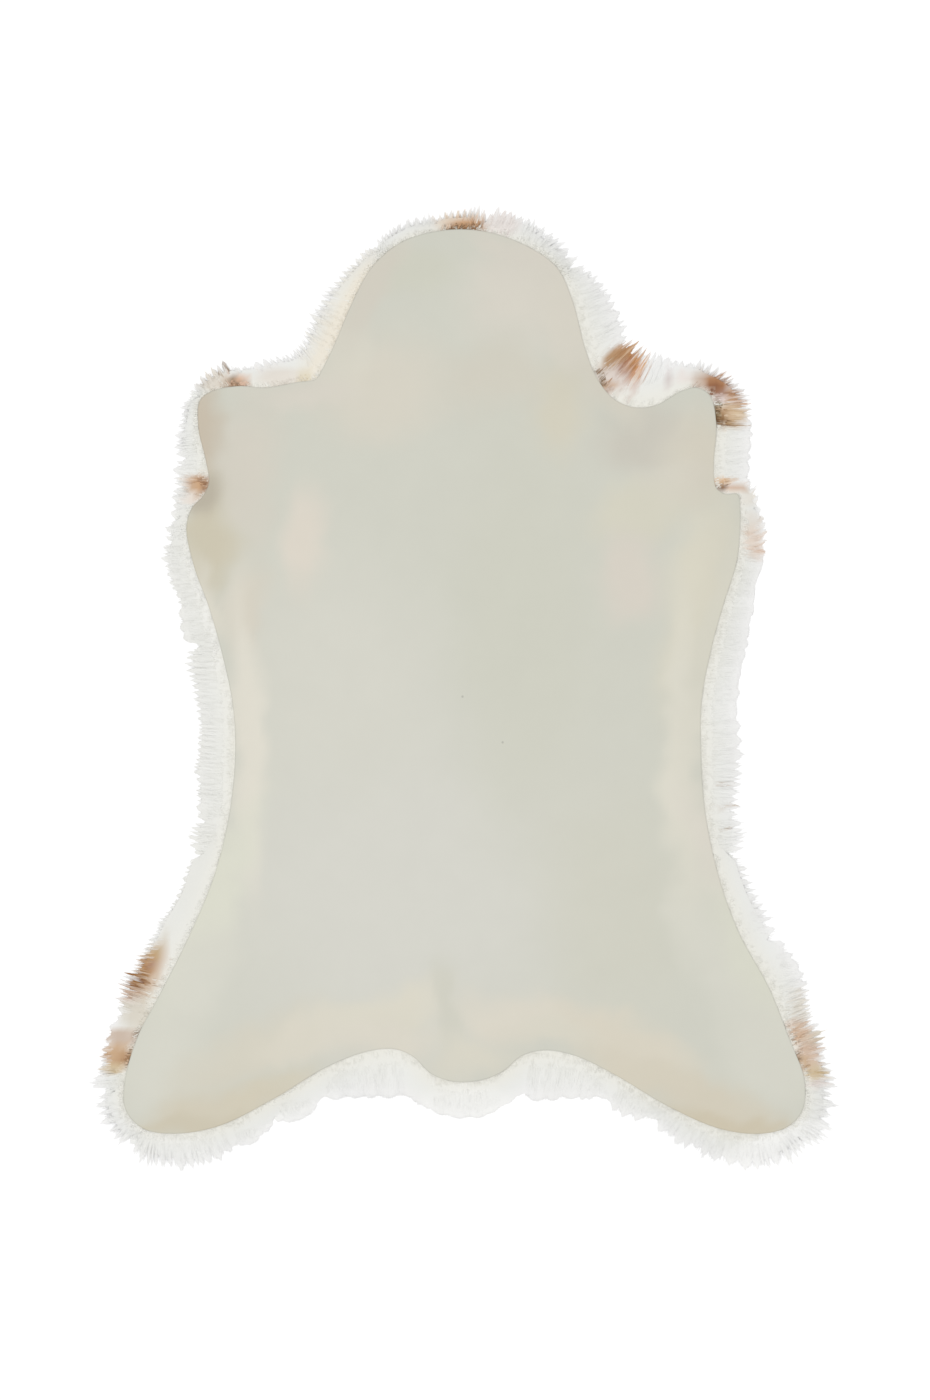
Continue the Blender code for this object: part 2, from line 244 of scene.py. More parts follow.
# %% How far in from a line points lie
AT_ONCE = 2000                         # points measured at a time, each against the whole line


def inside(points, line):
    """Whether each point lies inside a closed line, by the edges that lie to its right."""
    end = np.roll(line, -1, 0)
    x, y = points[:, :1], points[:, 1:]
    spans = (line[:, 1] > y) != (end[:, 1] > y)
    rise = np.where(end[:, 1] == line[:, 1], 1.0, end[:, 1] - line[:, 1])
    crossing = line[:, 0] + (y - line[:, 1]) * (end[:, 0] - line[:, 0]) / rise
    return (spans & (crossing > x)).sum(1) % 2 == 1


def depth_in(points, line):
    """Each point's distance from a closed line, negative outside it."""
    along = np.roll(line, -1, 0) - line
    found = []
    for some in np.array_split(points, max(1, len(points) // AT_ONCE)):
        off = some[:, None] - line
        share = np.clip((off * along).sum(2) / (along * along).sum(1), 0.0, 1.0)
        near = np.linalg.norm(off - along * share[..., None], axis=2).min(1)
        found.append(np.where(inside(some, line), near, -near))
    return np.concatenate(found)


# %% [markdown]
# ## Cutting a sheet to the outline
#
# The skin and the undercoat are both cut from a blank, as the tanner cuts a hide: a fine grid
# is extruded to a slab, a ring is bent to the outline and extruded to a cutter, and a Boolean
# keeps what they share. The grid's cells then give the points that are laid on the hair. The
# other way, filling the outline with one face, leaves no points inside to bend.

# %% A helper that deselects, and the blank
BLANK_UPPER, BLANK_LOWER = 0.5 * MM, -0.5 * MM


def deselect():
    bpy.ops.object.select_all(action="DESELECT")


def extruded(thing, height):
    """Extrudes the whole of a flat piece upwards, which closes it."""
    bpy.ops.object.mode_set(mode="EDIT")
    bpy.ops.mesh.select_all(action="SELECT")
    bpy.ops.mesh.extrude_region_move(TRANSFORM_OT_translate={"value": (0, 0, height)})
    bpy.ops.mesh.select_all(action="SELECT")
    bpy.ops.mesh.normals_make_consistent(inside=False)
    bpy.ops.object.mode_set(mode="OBJECT")
    return thing


def blank_slab(line, cell):
    """A slab of square cells that covers an outline."""
    low, high = line.min(0) - cell, line.max(0) + cell
    across, along = high - low
    deselect()
    bpy.ops.mesh.primitive_grid_add(
        x_subdivisions=round(across / cell), y_subdivisions=round(along / cell), size=1.0,
    )
    bpy.ops.object.mode_set(mode="EDIT")
    bpy.ops.transform.resize(value=(across, along, 1.0))
    bpy.ops.transform.translate(value=(*(low + high) / 2, BLANK_LOWER))
    bpy.ops.object.mode_set(mode="OBJECT")
    return extruded(bpy.context.object, BLANK_UPPER - BLANK_LOWER)


# %% The cutter, and the cut
CUTTER_REACH = 10.0 * MM


def outline_cutter(line):
    """A ring with one corner for each point of the line, bent to it and extruded."""
    deselect()
    bpy.ops.mesh.primitive_circle_add(vertices=len(line), radius=1.0, fill_type="NGON")
    cutter = bpy.context.object
    bpy.ops.object.mode_set(mode="EDIT")
    ring = bmesh.from_edit_mesh(cutter.data)
    for corner, (x, y) in zip(ring.verts, line):
        corner.co = (x, y, -CUTTER_REACH)
    bmesh.update_edit_mesh(cutter.data)
    bpy.ops.object.mode_set(mode="OBJECT")
    return extruded(cutter, 2.0 * CUTTER_REACH)


def cut_sheet(name, line, cell):
    """A flat sheet cut along a line, with cells of this size."""
    cutter = outline_cutter(line)
    sheet = blank_slab(line, cell)
    sheet.name = sheet.data.name = name
    cut = sheet.modifiers.new("cut_out", "BOOLEAN")
    cut.operation = "INTERSECT"
    cut.solver = "EXACT"
    cut.object = cutter
    bpy.ops.object.modifier_apply(modifier=cut.name)
    bpy.data.objects.remove(cutter, do_unlink=True)
    print(name, "cut out:", len(sheet.data.vertices), "points")
    return sheet


# %% [markdown]
# ## The skin
#
# Tanned skin about 2 mm thick, flesh side up. Each point of the cut sheet is lifted to the
# hair's height, its upper face 2 mm over its lower one. No fold or crease shows on this hide,
# only the soft roll along the edges, so nothing sharper is modelled.

# %% Lay the skin on the hair
SKIN_CELL = 6.5 * MM
ON_THE_LINE = 0.05 * MM                # a point this near to the outline lies on it
EDGE_ANGLE = math.radians(40)          # a sharper bend than this is an edge, and isn't shaded smooth


def points_of(piece):
    """The places of a piece's points, one row each."""
    found = np.empty(3 * len(piece.data.vertices))
    piece.data.vertices.foreach_get("co", found)
    return found.reshape(-1, 3)


def lay(piece, points):
    """Moves a piece's points, shades it smooth but for its cut edges, and prints its box."""
    piece.data.vertices.foreach_set("co", points.ravel())
    piece.data.update()
    deselect()
    piece.select_set(True)
    bpy.context.view_layer.objects.active = piece
    bpy.ops.object.shade_smooth_by_angle(angle=EDGE_ANGLE)
    print_box(piece.name, points.min(0), points.max(0))


skin = cut_sheet("skin_suede", SKIN_LINE, SKIN_CELL)
points = points_of(skin)
skin_depth = depth_in(points[:, :2], SKIN_LINE)
skin_depth[skin_depth < ON_THE_LINE] = 0.0
upper = points[:, 2] > 0.0
points[:, 2] = pile_height(points[:, :2], skin_depth) + SKIN_GAP + np.where(upper, SKIN_THICKNESS, 0.0)
lay(skin, points)

# %% [markdown]
# ## Colour, measured and mixed
#
# Colours are written as sRGB hex values, as a colour card gives them, and turned to the
# linear values that light is added in. Where a colour changes over the hide, soft patches are
# placed one by one: each has a middle, two half sizes and a turn, in millimetres and degrees on
# the hide, and fades out over its own width. A little noise moves their edges, so that no
# patch is a clean ellipse.

# %% From hex to linear, and soft patches
EXPOSURE = 1.16                        # light on the hide: the paper is past white, as in a catalogue


def linear(code):
    """An sRGB hex colour, such as 'D1D0C5', as three linear values, by the sRGB standard."""
    share = np.array([int(code[k:k + 2], 16) for k in (0, 2, 4)]) / 255.0
    return np.where(share <= 0.04045, share / 12.92, ((share + 0.055) / 1.055) ** 2.4)


def patch_weight(points, patch_place, softness):
    """How much a patch counts at each point: 1 in its middle, 0 outside."""
    x, y, half_length, half_width, turn = patch_place
    off = points - HIDE_ORIGIN - np.array((x, y)) * MM
    c, s = math.cos(math.radians(turn)), math.sin(math.radians(turn))
    along = (off[..., 0] * c + off[..., 1] * s) / (half_length * MM)
    across = (off[..., 1] * c - off[..., 0] * s) / (half_width * MM)
    reach = np.hypot(along, across)
    return 1.0 - ease((reach - 1.0 + softness) / (2.0 * softness))


def with_patches(points, ground, patches, softness, light):
    """Lays soft patches over a ground colour; light is how bright a white thing is seen there."""
    for *patch_place, code, strength in patches:
        weight = strength * patch_weight(points, patch_place, softness)[..., None]
        ground = part_way(ground, linear(code) / light, weight)
    return ground


# %% [markdown]
# ## The skin's colour
#
# Bone white, a little green-grey in the middle where the skin is thickest, and warmer towards
# the neck, flanks and tail, where it is thin and the tanning shows through. The cut edges of
# the shoulders and the feet are darker and browner. These clouds are so soft that a colour on
# each point of the sheet holds them.

# %% Clouds of colour on the skin
SKIN_COLOUR = "D2D2C6"
#  x, y, half length, half width, turn, colour, strength
SKIN_CLOUDS = (
    # the middle: greyer in the back half, paler left of it, denser along the spine; the right thigh
    (-78, -240, 225, 205, 0, "D8D7CE", 0.9), (-155, 15, 110, 135, 10, "D7D6CB", 0.95),
    (70, 60, 80, 240, 0, "D0D0C2", 0.7), (190, -270, 85, 130, 10, "D2D1C3", 0.7),
    # nape, right side of the neck, and crown
    (-105, 372, 80, 58, 20, "D9D4C6", 0.9), (-150, 420, 30, 45, 0, "DCD8CA", 0.6),
    (72, 488, 62, 62, -20, "DAD5C9", 0.9), (136, 450, 26, 85, 10, "DBD6C9", 0.9),
    (40, 385, 60, 40, 0, "D4D0C2", 0.9), (118, 345, 34, 48, 0, "D6D1BF", 0.9),
    (-60, 520, 45, 30, 0, "D0D0C0", 0.6),
    # right shoulder, and its edge
    (222, 305, 50, 40, 10, "CDC9BD", 0.9), (288, 285, 38, 62, 0, "D8D2C2", 0.9),
    (262, 250, 42, 22, 0, "D9D4C6", 0.7),
    # the neck's right foot, brow, and the neck's left side and foot
    (182, 366, 42, 18, -45, "D8D3C5", 0.9), (75, 545, 70, 18, -24, "D9D4C8", 0.8),
    (-116, 500, 66, 24, 62, "D5CFC2", 0.8), (-202, 366, 64, 24, -6, "DAD5C9", 0.9),
    # behind the right shoulder
    (212, 212, 56, 34, 8, "D8D4C2", 0.75), (208, 138, 36, 44, 0, "DAD3C7", 0.9),
    # right flank, and its edge
    (285, 105, 125, 34, 76, "DBD7C6", 1.0), (275, -95, 180, 23, 92, "DFDCCE", 1.0),
    (318, 78, 105, 18, 76, "DBD8C9", 0.9),
    # right leg: the thigh's edge, paler farther in, and the foot
    (312, -235, 95, 20, -72, "E0DBCF", 0.9), (330, -345, 100, 40, -64, "DAD9CD", 0.85),
    (355, -355, 115, 24, -66, "DCDCCD", 0.9), (385, -465, 52, 62, 20, "D9D8CC", 0.9),
    # pale spot behind the left shoulder
    (-196, 180, 28, 54, -8, "DED7CA", 1.0),
    # left shoulder, its edge, which is the darkest and brownest, and the armpit
    (-268, 268, 34, 80, 0, "D6D0C3", 0.8), (-326, 312, 26, 74, 4, "CABFAD", 1.0),
    (-324, 188, 36, 58, -6, "CFC8B3", 1.0), (-326, 238, 30, 19, 0, "BBB3A2", 0.9),
    # left flank: in front, its edge, and the back of it
    (-274, 95, 28, 54, -6, "D8D1C2", 0.85), (-322, 112, 50, 14, 108, "DDD9CB", 0.95),
    (-273, -60, 170, 20, 93, "E2DED1", 1.0),
    # left leg: pale, the foot, and above the hem
    (-316, -272, 135, 26, 66, "DEDECF", 1.0), (-332, -362, 66, 34, 66, "DAD9CD", 0.85),
    (-385, -470, 52, 62, -20, "D9D8CC", 0.9), (-270, -456, 95, 30, 28, "D8D3C3", 0.85),
    (-190, -432, 66, 22, 20, "DDD8C9", 0.9),
    # left and right of the tail, the right leg above the hem, and the spine's end
    (-92, -402, 70, 26, 16, "DDD9CA", 1.0), (72, -416, 82, 27, -4, "DDD8CA", 1.0),
    (200, -448, 90, 30, -28, "DCD5C4", 0.9), (-17, -410, 14, 60, 0, "D1D0C3", 0.8),
    # groin, left and right of the tail, and the tail
    (-98, -436, 66, 20, 2, "DFDACC", 0.9), (108, -436, 52, 18, -4, "DCD8C9", 0.9),
    (12, -462, 44, 22, 0, "DDD9CA", 0.9),
    # left foot's hem, darker and browner
    (-300, -528, 84, 22, 8, "D5CEBB", 1.0), (-338, -548, 80, 10, 6, "D0C8B3", 0.9),
    (-235, -498, 60, 17, 28, "D6CFBB", 0.8),
    # right foot's hem, darker and browner
    (298, -520, 90, 24, -17, "D6CFBD", 1.0), (325, -546, 74, 10, -5, "D0C6AF", 0.9),
    (225, -490, 60, 17, -28, "D8D1BF", 0.8),
)
CLOUD_SOFTNESS = 0.62
CLOUD_WANDER, CLOUD_WANDER_LENGTH = 20.0 * MM, 70.0 * MM
FRAY_WANDER, FRAY_WANDER_LENGTH = 9.0 * MM, 22.0 * MM
WANDER_LAYERS = (3.3, 7.7)             # of the noise, one for x and one for y


def wandered(points, far, length):
    """Points moved about by a slow wave, which makes whatever is drawn there uneven."""
    return points + far * np.stack([unevenness(points, length, layer) for layer in WANDER_LAYERS], 1)


def skin_tint(points):
    """The skin's colour at points: the clouds, with wandering and frayed edges."""
    places = wandered(points, CLOUD_WANDER, CLOUD_WANDER_LENGTH)
    places = wandered(places, FRAY_WANDER, FRAY_WANDER_LENGTH)
    return with_patches(places, linear(SKIN_COLOUR) / EXPOSURE, SKIN_CLOUDS, CLOUD_SOFTNESS, EXPOSURE)


def paint(piece, name, colours):
    """Keeps a colour on each point of a piece, for its material to read."""
    values = np.concatenate((colours, np.ones((len(colours), 1))), 1)
    layer = piece.data.color_attributes.new(name=name, type="FLOAT_COLOR", domain="POINT")
    layer.data.foreach_set("color", values.ravel())


paint(skin, "tint", skin_tint(points[:, :2]))
edge = skin.data.attributes.new("from_edge", "FLOAT", "POINT")
edge.data.foreach_set("value", skin_depth / MM)
print("clouds on the skin:", len(SKIN_CLOUDS))

# %% [markdown]
# ## Suede
#
# The flesh side of a tanned hide is buffed to suede: its fibres stand up as a nap under half a
# millimetre long. It has no shine of its own, only a faint bloom where the nap catches the
# light at a low angle. That is a high roughness and a little sheen. The nap is drawn as a
# bump. At its real size it would be lost between two pixels, so it is drawn at 2.5 mm. Along
# the cut edge a thin line of shade is painted into the colour.

# %% One helper that adds a node, and a new material
def add_node(material, kind, inputs=(), **settings):
    """Adds a node with its settings; inputs are (name or number, value or another's output)."""
    tree = material.node_tree
    node = tree.nodes.new("ShaderNode" + kind)
    for name, value in settings.items():
        setattr(node, name, value)
    for name, value in inputs:
        if isinstance(value, bpy.types.NodeSocket):
            tree.links.new(value, node.inputs[name])
        else:
            node.inputs[name].default_value = value
    return node


def new_material(name, finish):
    """A material and its shader; finish is what is set on the shader's own sockets."""
    material = bpy.data.materials.new(name)
    material.use_nodes = True
    shader = material.node_tree.nodes["Principled BSDF"]
    for socket, value in finish.items():
        shader.inputs[socket].default_value = value
    return material, shader


# %% Suede, the buffed flesh side of tanned skin
MOTTLE_SIZE = 45.0 * MM                # clouds of denser and looser fibre
MOTTLE_LEAST, MOTTLE_MOST = 0.988, 1.012
NOISE_LOW, NOISE_HIGH = 0.25, 0.75     # a noise seldom leaves this range
NAP_SIZE = 2.5 * MM                    # really about 0.4 mm: drawn coarser, to show
NAP_HEIGHT, NAP_STRENGTH = 0.3 * MM, 0.22
# EDGE_WIDTH and EDGE_SHADE set the painted shade along the skin's cut edge
EDGE_WIDTH, EDGE_SHADE = 1.6, 0.89     # the cut edge's darker line, in mm, and its share of the light
SPECKS = ((-3, -12), (47, -69))        # x and y of two pinpoint marks, in mm
SPECK_INSIDE, SPECK_OUTSIDE, SPECK_SHADE = 0.9 * MM, 1.9 * MM, 0.75

suede, shader = new_material("suede_buffed_flesh_side", {
    "Roughness": 0.92, "Specular IOR Level": 0.25, "Sheen Weight": 0.12, "Sheen Roughness": 0.6,
})
place = add_node(suede, "TexCoord").outputs["Object"]
tint = add_node(suede, "Attribute", attribute_name="tint").outputs["Color"]
mottle = add_node(suede, "TexNoise", [
    ("Vector", place), ("Scale", 1 / MOTTLE_SIZE), ("Detail", 5.0), ("Roughness", 0.6),
]).outputs["Fac"]
mottled = add_node(suede, "MapRange", [
    ("Value", mottle), ("From Min", NOISE_LOW), ("From Max", NOISE_HIGH),
    ("To Min", MOTTLE_LEAST), ("To Max", MOTTLE_MOST),
]).outputs[0]
shaded = add_node(suede, "VectorMath", [(0, tint), (1, mottled)], operation="MULTIPLY").outputs[0]

# %% The suede's cut edge, the two marks, and the nap
from_edge = add_node(suede, "Attribute", attribute_name="from_edge").outputs["Fac"]
# painted shade: the skin's colour is darker within EDGE_WIDTH mm of its cut edge
painted_edge_shade = add_node(suede, "MapRange", [
    ("Value", from_edge), ("From Max", EDGE_WIDTH), ("To Min", EDGE_SHADE),
]).outputs[0]
colour = add_node(suede, "VectorMath", [(0, shaded), (1, painted_edge_shade)], operation="MULTIPLY").outputs[0]
for x, y in SPECKS:
    middle = (HIDE_ORIGIN[0] + x * MM, HIDE_ORIGIN[1] + y * MM, 0.0)
    flat = add_node(suede, "VectorMath", [(0, place), (1, (1.0, 1.0, 0.0))], operation="MULTIPLY").outputs[0]
    away = add_node(suede, "VectorMath", [(0, flat), (1, middle)], operation="DISTANCE").outputs["Value"]
    speck = add_node(suede, "MapRange", [
        ("Value", away), ("From Min", SPECK_INSIDE), ("From Max", SPECK_OUTSIDE), ("To Min", SPECK_SHADE),
    ]).outputs[0]
    colour = add_node(suede, "VectorMath", [(0, colour), (1, speck)], operation="MULTIPLY").outputs[0]

nap = add_node(suede, "TexNoise", [
    ("Vector", place), ("Scale", 1 / NAP_SIZE), ("Detail", 3.0), ("Roughness", 0.65),
]).outputs["Fac"]
bump = add_node(suede, "Bump", [("Height", nap), ("Strength", NAP_STRENGTH), ("Distance", NAP_HEIGHT)])
suede.node_tree.links.new(colour, shader.inputs["Base Color"])
suede.node_tree.links.new(bump.outputs["Normal"], shader.inputs["Normal"])
skin.data.materials.append(suede)
print("suede's nodes:", len(suede.node_tree.nodes))

# %% [markdown]
# ## The coat's colour
#
# A white coat with a few brown patches, which show where they reach the rim. A patch isn't one
# brown: it goes from dark roots to rust, tan and pink at its edges, and each hair is banded. So
# the colour is looked up all along a hair, in small soft patches that lie over each other.

# %% Patches in the coat
# just past the skin's edge the white is a little greyer, partly the roots' own colour and partly painted
# shade; right at the edge it is painted lighter, against the shade that the skin's edge casts there
#  share of the way out across the rim, white there
COAT_WHITES = (
    (0.0, "E8E7E0"), (0.12, "E2E1DA"), (0.3, "E4E4DF"), (0.5, "E6E7E4"), (0.8, "E7E7E6"), (1.0, "E8E8E8"),
    (1.2, "EFEFEF"),
)
COAT_LIGHT = 1.03                      # as EXPOSURE, but less, because locks shade one another
#  x, y, half length, half width, turn, colour, strength
COAT_PATCHES = (
    # white, a little greyer or lighter: left side, both feet, tail, left leg, left flank by the skin
    # the lighter white at both feet and by the skin on the left flank is painted light, against the shade
    # between the tufts and under the skin's edge
    (-348, -40, 300, 45, 90, "E1E1DC", 0.6), (400, -574, 84, 22, 18, "F4F4F3", 0.7),
    (-396, -562, 84, 24, -18, "F2F2F1", 0.25), (6, -525, 62, 24, 0, "F2F2F0", 0.5),
    (-372, -268, 92, 34, 66, "DCDCD7", 0.4), (-320, 85, 100, 6, 106, "F3F3F2", 0.3),
    # left of the neck: cream, and more so next to the skin
    (-168, 458, 100, 15, 62, "E5E2D8", 0.6), (-160, 452, 90, 11, 62, "E5DED0", 0.8),
    # crown: its dark roots, and pink beside it
    (-9, 581, 28, 11, 0, "E0D0BE", 0.95), (4, 577, 24, 6.5, -3, "C79B73", 0.95),
    (-3, 572, 25, 3.2, 0, "75532F", 0.95), (46, 581, 22, 16, -6, "E6DEDA", 0.8),
    # right of the neck: pink under the arch
    (190, 388, 26, 18, 0, "D5C8C0", 0.8), (197, 396, 16, 7, -40, "B89788", 0.85),
    # the brown arch, from its near end over the top to its far foot, and one tan streak
    (185, 411, 16, 10, 44, "AD8862", 0.95), (203, 418, 17, 11, -20, "BA8F65", 0.95),
    (210, 404, 18, 9, -62, "B07C4D", 0.95), (219, 403, 15, 7, -64, "C78F58", 0.95),
    (211, 385, 9, 6, -60, "D0A793", 0.8), (211, 371, 16, 2.6, 64, "D3C5BD", 0.8),
    # dark roots by the neck, and another streak
    (166, 391, 9, 3.4, 0, "8F755C", 0.95), (176, 379, 13, 5, 0, "C0A084", 0.95),
    (169, 379, 7, 5, -50, "7F6648", 0.95), (176, 370, 9, 5, 0, "CAB6A9", 0.8),
    (252, 383, 15, 3.2, 88, "CCC1BE", 0.95),
    # right shoulder: pink,
    (273, 388, 10, 8, 0, "E6DCD7", 0.7), (296, 384, 13, 12, 0, "CABAAD", 0.9),
    # rust,
    (315, 378, 18, 12, -28, "AC7D58", 1.0), (315, 373, 13, 8, -35, "8C5E42", 0.95),
    (337, 364, 10, 12, -30, "B78F6E", 1.0), (341, 351, 9, 8, 0, "CFAA92", 0.9),
    # and tan, with a pale gap between them, dark roots, and a dark lower edge
    (332, 340, 20, 15, 0, "CBB092", 1.0), (342, 341, 9, 11, 0, "D8C2A4", 0.9),
    (320, 362, 9, 6, 0, "DACAC5", 0.9), (319, 343, 6, 7, 0, "A98866", 0.9),
    (315, 344, 17, 3.6, 86, "75603F", 0.95), (321, 332, 9, 5.5, 0, "7C5B37", 0.95),
    (335, 329, 13, 2.4, 0, "A68660", 0.9),
    # right armpit
    (320, 256, 9, 4, 0, "D5AF85", 0.9), (336, 250, 17, 4.6, 0, "D0B6A2", 0.95),
    (339, 246, 16, 1.8, 0, "B8937A", 0.9), (319, 249, 5, 5, 0, "745030", 1.0),
    # right chest
    (356, 236, 10, 10, 0, "E3DED5", 0.8), (360, 202, 11, 16, 0, "D9CFC3", 0.6),
    (362, 180, 12, 20, 0, "DFCEC0", 0.85), (365, 172, 4, 4, 0, "CDAE98", 0.8),
    # three single tufts on the right flank
    (324, -121, 8, 1.7, 12, "AD9A87", 0.85), (327, -149, 7, 1.6, 12, "B5A28E", 0.8),
    (328, -178, 7, 1.6, 14, "B5A28E", 0.8),
    # right shank, light tan, and hock: pink above, orange, tan, and dark roots
    (419, -400, 10, 24, 8, "DDD6C9", 0.7), (414, -422, 13, 7, 0, "D5C2B2", 0.8),
    (420, -434, 11, 12, 0, "CFB196", 0.95), (438, -440, 10, 9, 0, "CFC6B4", 0.85),
    (431, -460, 16, 19, 0, "D4BCA8", 0.95), (424, -468, 8, 9, 0, "C2A686", 0.85),
    (439, -483, 13, 9, 0, "CAB48F", 0.95), (441, -496, 11, 5, 0, "DED2CC", 0.8),
    (414, -453, 22, 1.8, -73, "957C62", 0.95),
    # left thigh: beige next to the skin, tan all through, brown, darkest near its end, and pink
    (-390, -356, 50, 9, 72, "D0CABC", 0.8), (-397, -360, 40, 15, 63, "C9B29C", 0.85),
    (-391, -337, 12, 7, 50, "B8A07A", 0.9), (-402, -356, 25, 10, 60, "B58D5E", 0.95),
    (-394, -349, 10, 6, 40, "A8846E", 0.95), (-410, -370, 15, 10, 57, "8E602F", 1.0),
    (-418, -386, 13, 8, 25, "B8987F", 0.95), (-416, -393, 11, 5, 0, "DDCDC3", 0.8),
    # left shank, and hock: pink above, tan, and dark roots
    (-411, -409, 20, 20, 0, "D0CABD", 0.85), (-430, -438, 20, 11, 0, "C2AE9D", 0.9),
    (-434, -461, 19, 15, 0, "C2A07C", 0.95), (-426, -463, 12, 5, 0, "AA8563", 0.9),
    (-425, -471, 6, 3, 0, "D8BAA2", 0.8), (-440, -477, 13, 8, 0, "CBB795", 0.9),
    (-416, -460, 17, 2.2, 73, "6E573C", 0.95), (-414, -434, 7, 1.6, 20, "84705C", 0.85),
    # left shoulder: beige, its orange part, dark roots, and two long dark locks
    (-315, 385, 20, 13, 10, "DAD2C6", 0.85), (-285, 383, 13, 9, 0, "D3AF95", 0.95),
    (-286, 377, 13, 2.4, 0, "98795E", 0.9), (-304, 375, 7, 2.6, 10, "B09C88", 0.8),
    (-294, 393, 16, 2.3, 120, "9C8874", 0.9), (-304, 389, 12, 1.8, 130, "BAAA98", 0.8),
    # left of the neck, pink
    (-231, 387, 28, 13, 0, "DCD5CC", 0.8), (-201, 389, 9, 6, 0, "D4C8AA", 0.7),
    # left armpit
    (-331, 254, 16, 11, 0, "C39C76", 0.95), (-325, 254, 6, 9, 0, "9E7A5E", 0.95),
    (-337, 243, 10, 3.6, -28, "AE8E6B", 0.9), (-341, 236, 13, 6, 0, "E2D5CA", 0.8),
)
PATCH_SOFTNESS = 0.42                  # harder edges than the skin's clouds have


def coat_tint(points, share):
    """The coat's colour at points; share is their share of the way out across the rim."""
    places = [place for place, code in COAT_WHITES]
    whites = np.array([linear(code) for place, code in COAT_WHITES]) / COAT_LIGHT
    white = np.stack([np.interp(share, places, whites[:, k]) for k in range(3)], -1)
    return with_patches(points, white, COAT_PATCHES, PATCH_SOFTNESS, COAT_LIGHT)


print("patches in the coat:", len(COAT_PATCHES))

# %% [markdown]
# ## The rim
#
# The hair grows under the skin and is pressed outwards past its edge. A place in it is named by
# how far round the rim it is, and by its share of the way from the skin's edge to the hair
# line. The coat is thickest just outside the skin and thins to the tips. Here and there it
# parts, where two ways of growing meet.

# %% Places and widths round the rim
RIM_MIDDLE = 0.75                      # share of the way out at which the way round is measured
rim_line = part_way(SKIN_LINE, HAIR_LINE, RIM_MIDDLE)
steps = np.linalg.norm(np.roll(rim_line, -1, 0) - rim_line, axis=1)
RIM_TRAVEL = np.concatenate(([0.0], np.cumsum(steps)))
RIM_LENGTH = RIM_TRAVEL[-1]


def round_rim(values, travel):
    """What a value known at each point of the lines is, this far round the rim."""
    return np.interp(travel % RIM_LENGTH, RIM_TRAVEL, [*values, values[0]])


def rim_point(travel, share):
    """A point this far round the rim; share is 0 at the skin's edge and 1 at the hair line."""
    return np.stack([
        part_way(round_rim(SKIN_LINE[:, k], travel), round_rim(HAIR_LINE[:, k], travel), share)
        for k in (0, 1)
    ], -1)


print("length of the rim, m:", round(RIM_LENGTH, 2))

# %% The coat's height across the rim, and where it parts
#  share of the way out, height of the coat there, mm
COAT_PROFILE = np.array((
    (-0.2, 12.9), (0.0, 13.4), (0.05, 14.9), (0.14, 14.9), (0.3, 12.6), (0.5, 8.4), (0.65, 5.0), (0.8, 2.7),
    (0.9, 1.8), (1.0, 1.2), (1.25, 0.9), (1.6, 0.8),
))
WAVE_ENDS = 1.3                        # share of the way out where the skin's slow wave has died out
USUAL_REACH = 1.025                    # how far the coat reaches, as a share of the way out,
SWELL, SWELL_LENGTH = 0.06, 45.0 * MM  # how much that changes from place to place,
LEAST_REACH = 0.35                     # and where a parting is deepest
#  mm round the rim from the crown, how much less it reaches there, half width in mm
PARTINGS = (
    # head, to the right shoulder
    (2, 0.52, 4.5), (120, 0.04, 12), (131, 0.40, 5), (245, 0.10, 10), (345, 0.09, 10),
    (556, 0.30, 3), (567, 0.38, 3.5), (578, 0.28, 3), (655, 0.15, 20), (713, 0.08, 8),
    # right side
    (780, 0.05, 14), (820, 0.06, 9), (932, 0.09, 9), (948, 0.11, 8), (1001, 0.44, 7), (1096, 0.14, 5),
    (1118, 0.28, 5), (1210, 0.16, 12), (1230, 0.26, 8), (1285, 0.16, 7), (1327, 0.24, 6), (1352, 0.18, 6),
    (1396, 0.26, 5),
    # hem
    (1535, 0.18, 6), (1598, 0.32, 9), (1670, 0.16, 12), (1772, 0.06, 6), (1930, 0.05, 12), (2000, 0.06, 14),
    (2033, 0.18, 11), (2102, 0.38, 7), (2165, 0.07, 8), (2215, 0.09, 5), (2247, 0.06, 4),
    # left side
    (2297, 0.38, 6), (2372, 0.42, 5), (2408, 0.06, 14), (2440, 0.04, 15), (2473, 0.22, 14), (2497, 0.12, 5),
    (2545, 0.09, 25), (2635, 0.07, 40), (2695, 0.38, 5), (2740, 0.28, 4), (2850, 0.09, 20), (2958, 0.42, 4),
    (3020, 0.10, 14), (3096, 0.24, 4), (3122, 0.34, 4), (3164, 0.16, 4), (3200, 0.26, 4), (3255, 0.08, 20),
    (3279, 0.50, 4), (3348, 0.20, 5),
    # left shoulder, to the head
    (3360, 0.04, 12), (3440, 0.05, 14), (3555, 0.08, 40), (3600, 0.44, 5), (3683, 0.28, 6), (3715, 0.04, 12),
)
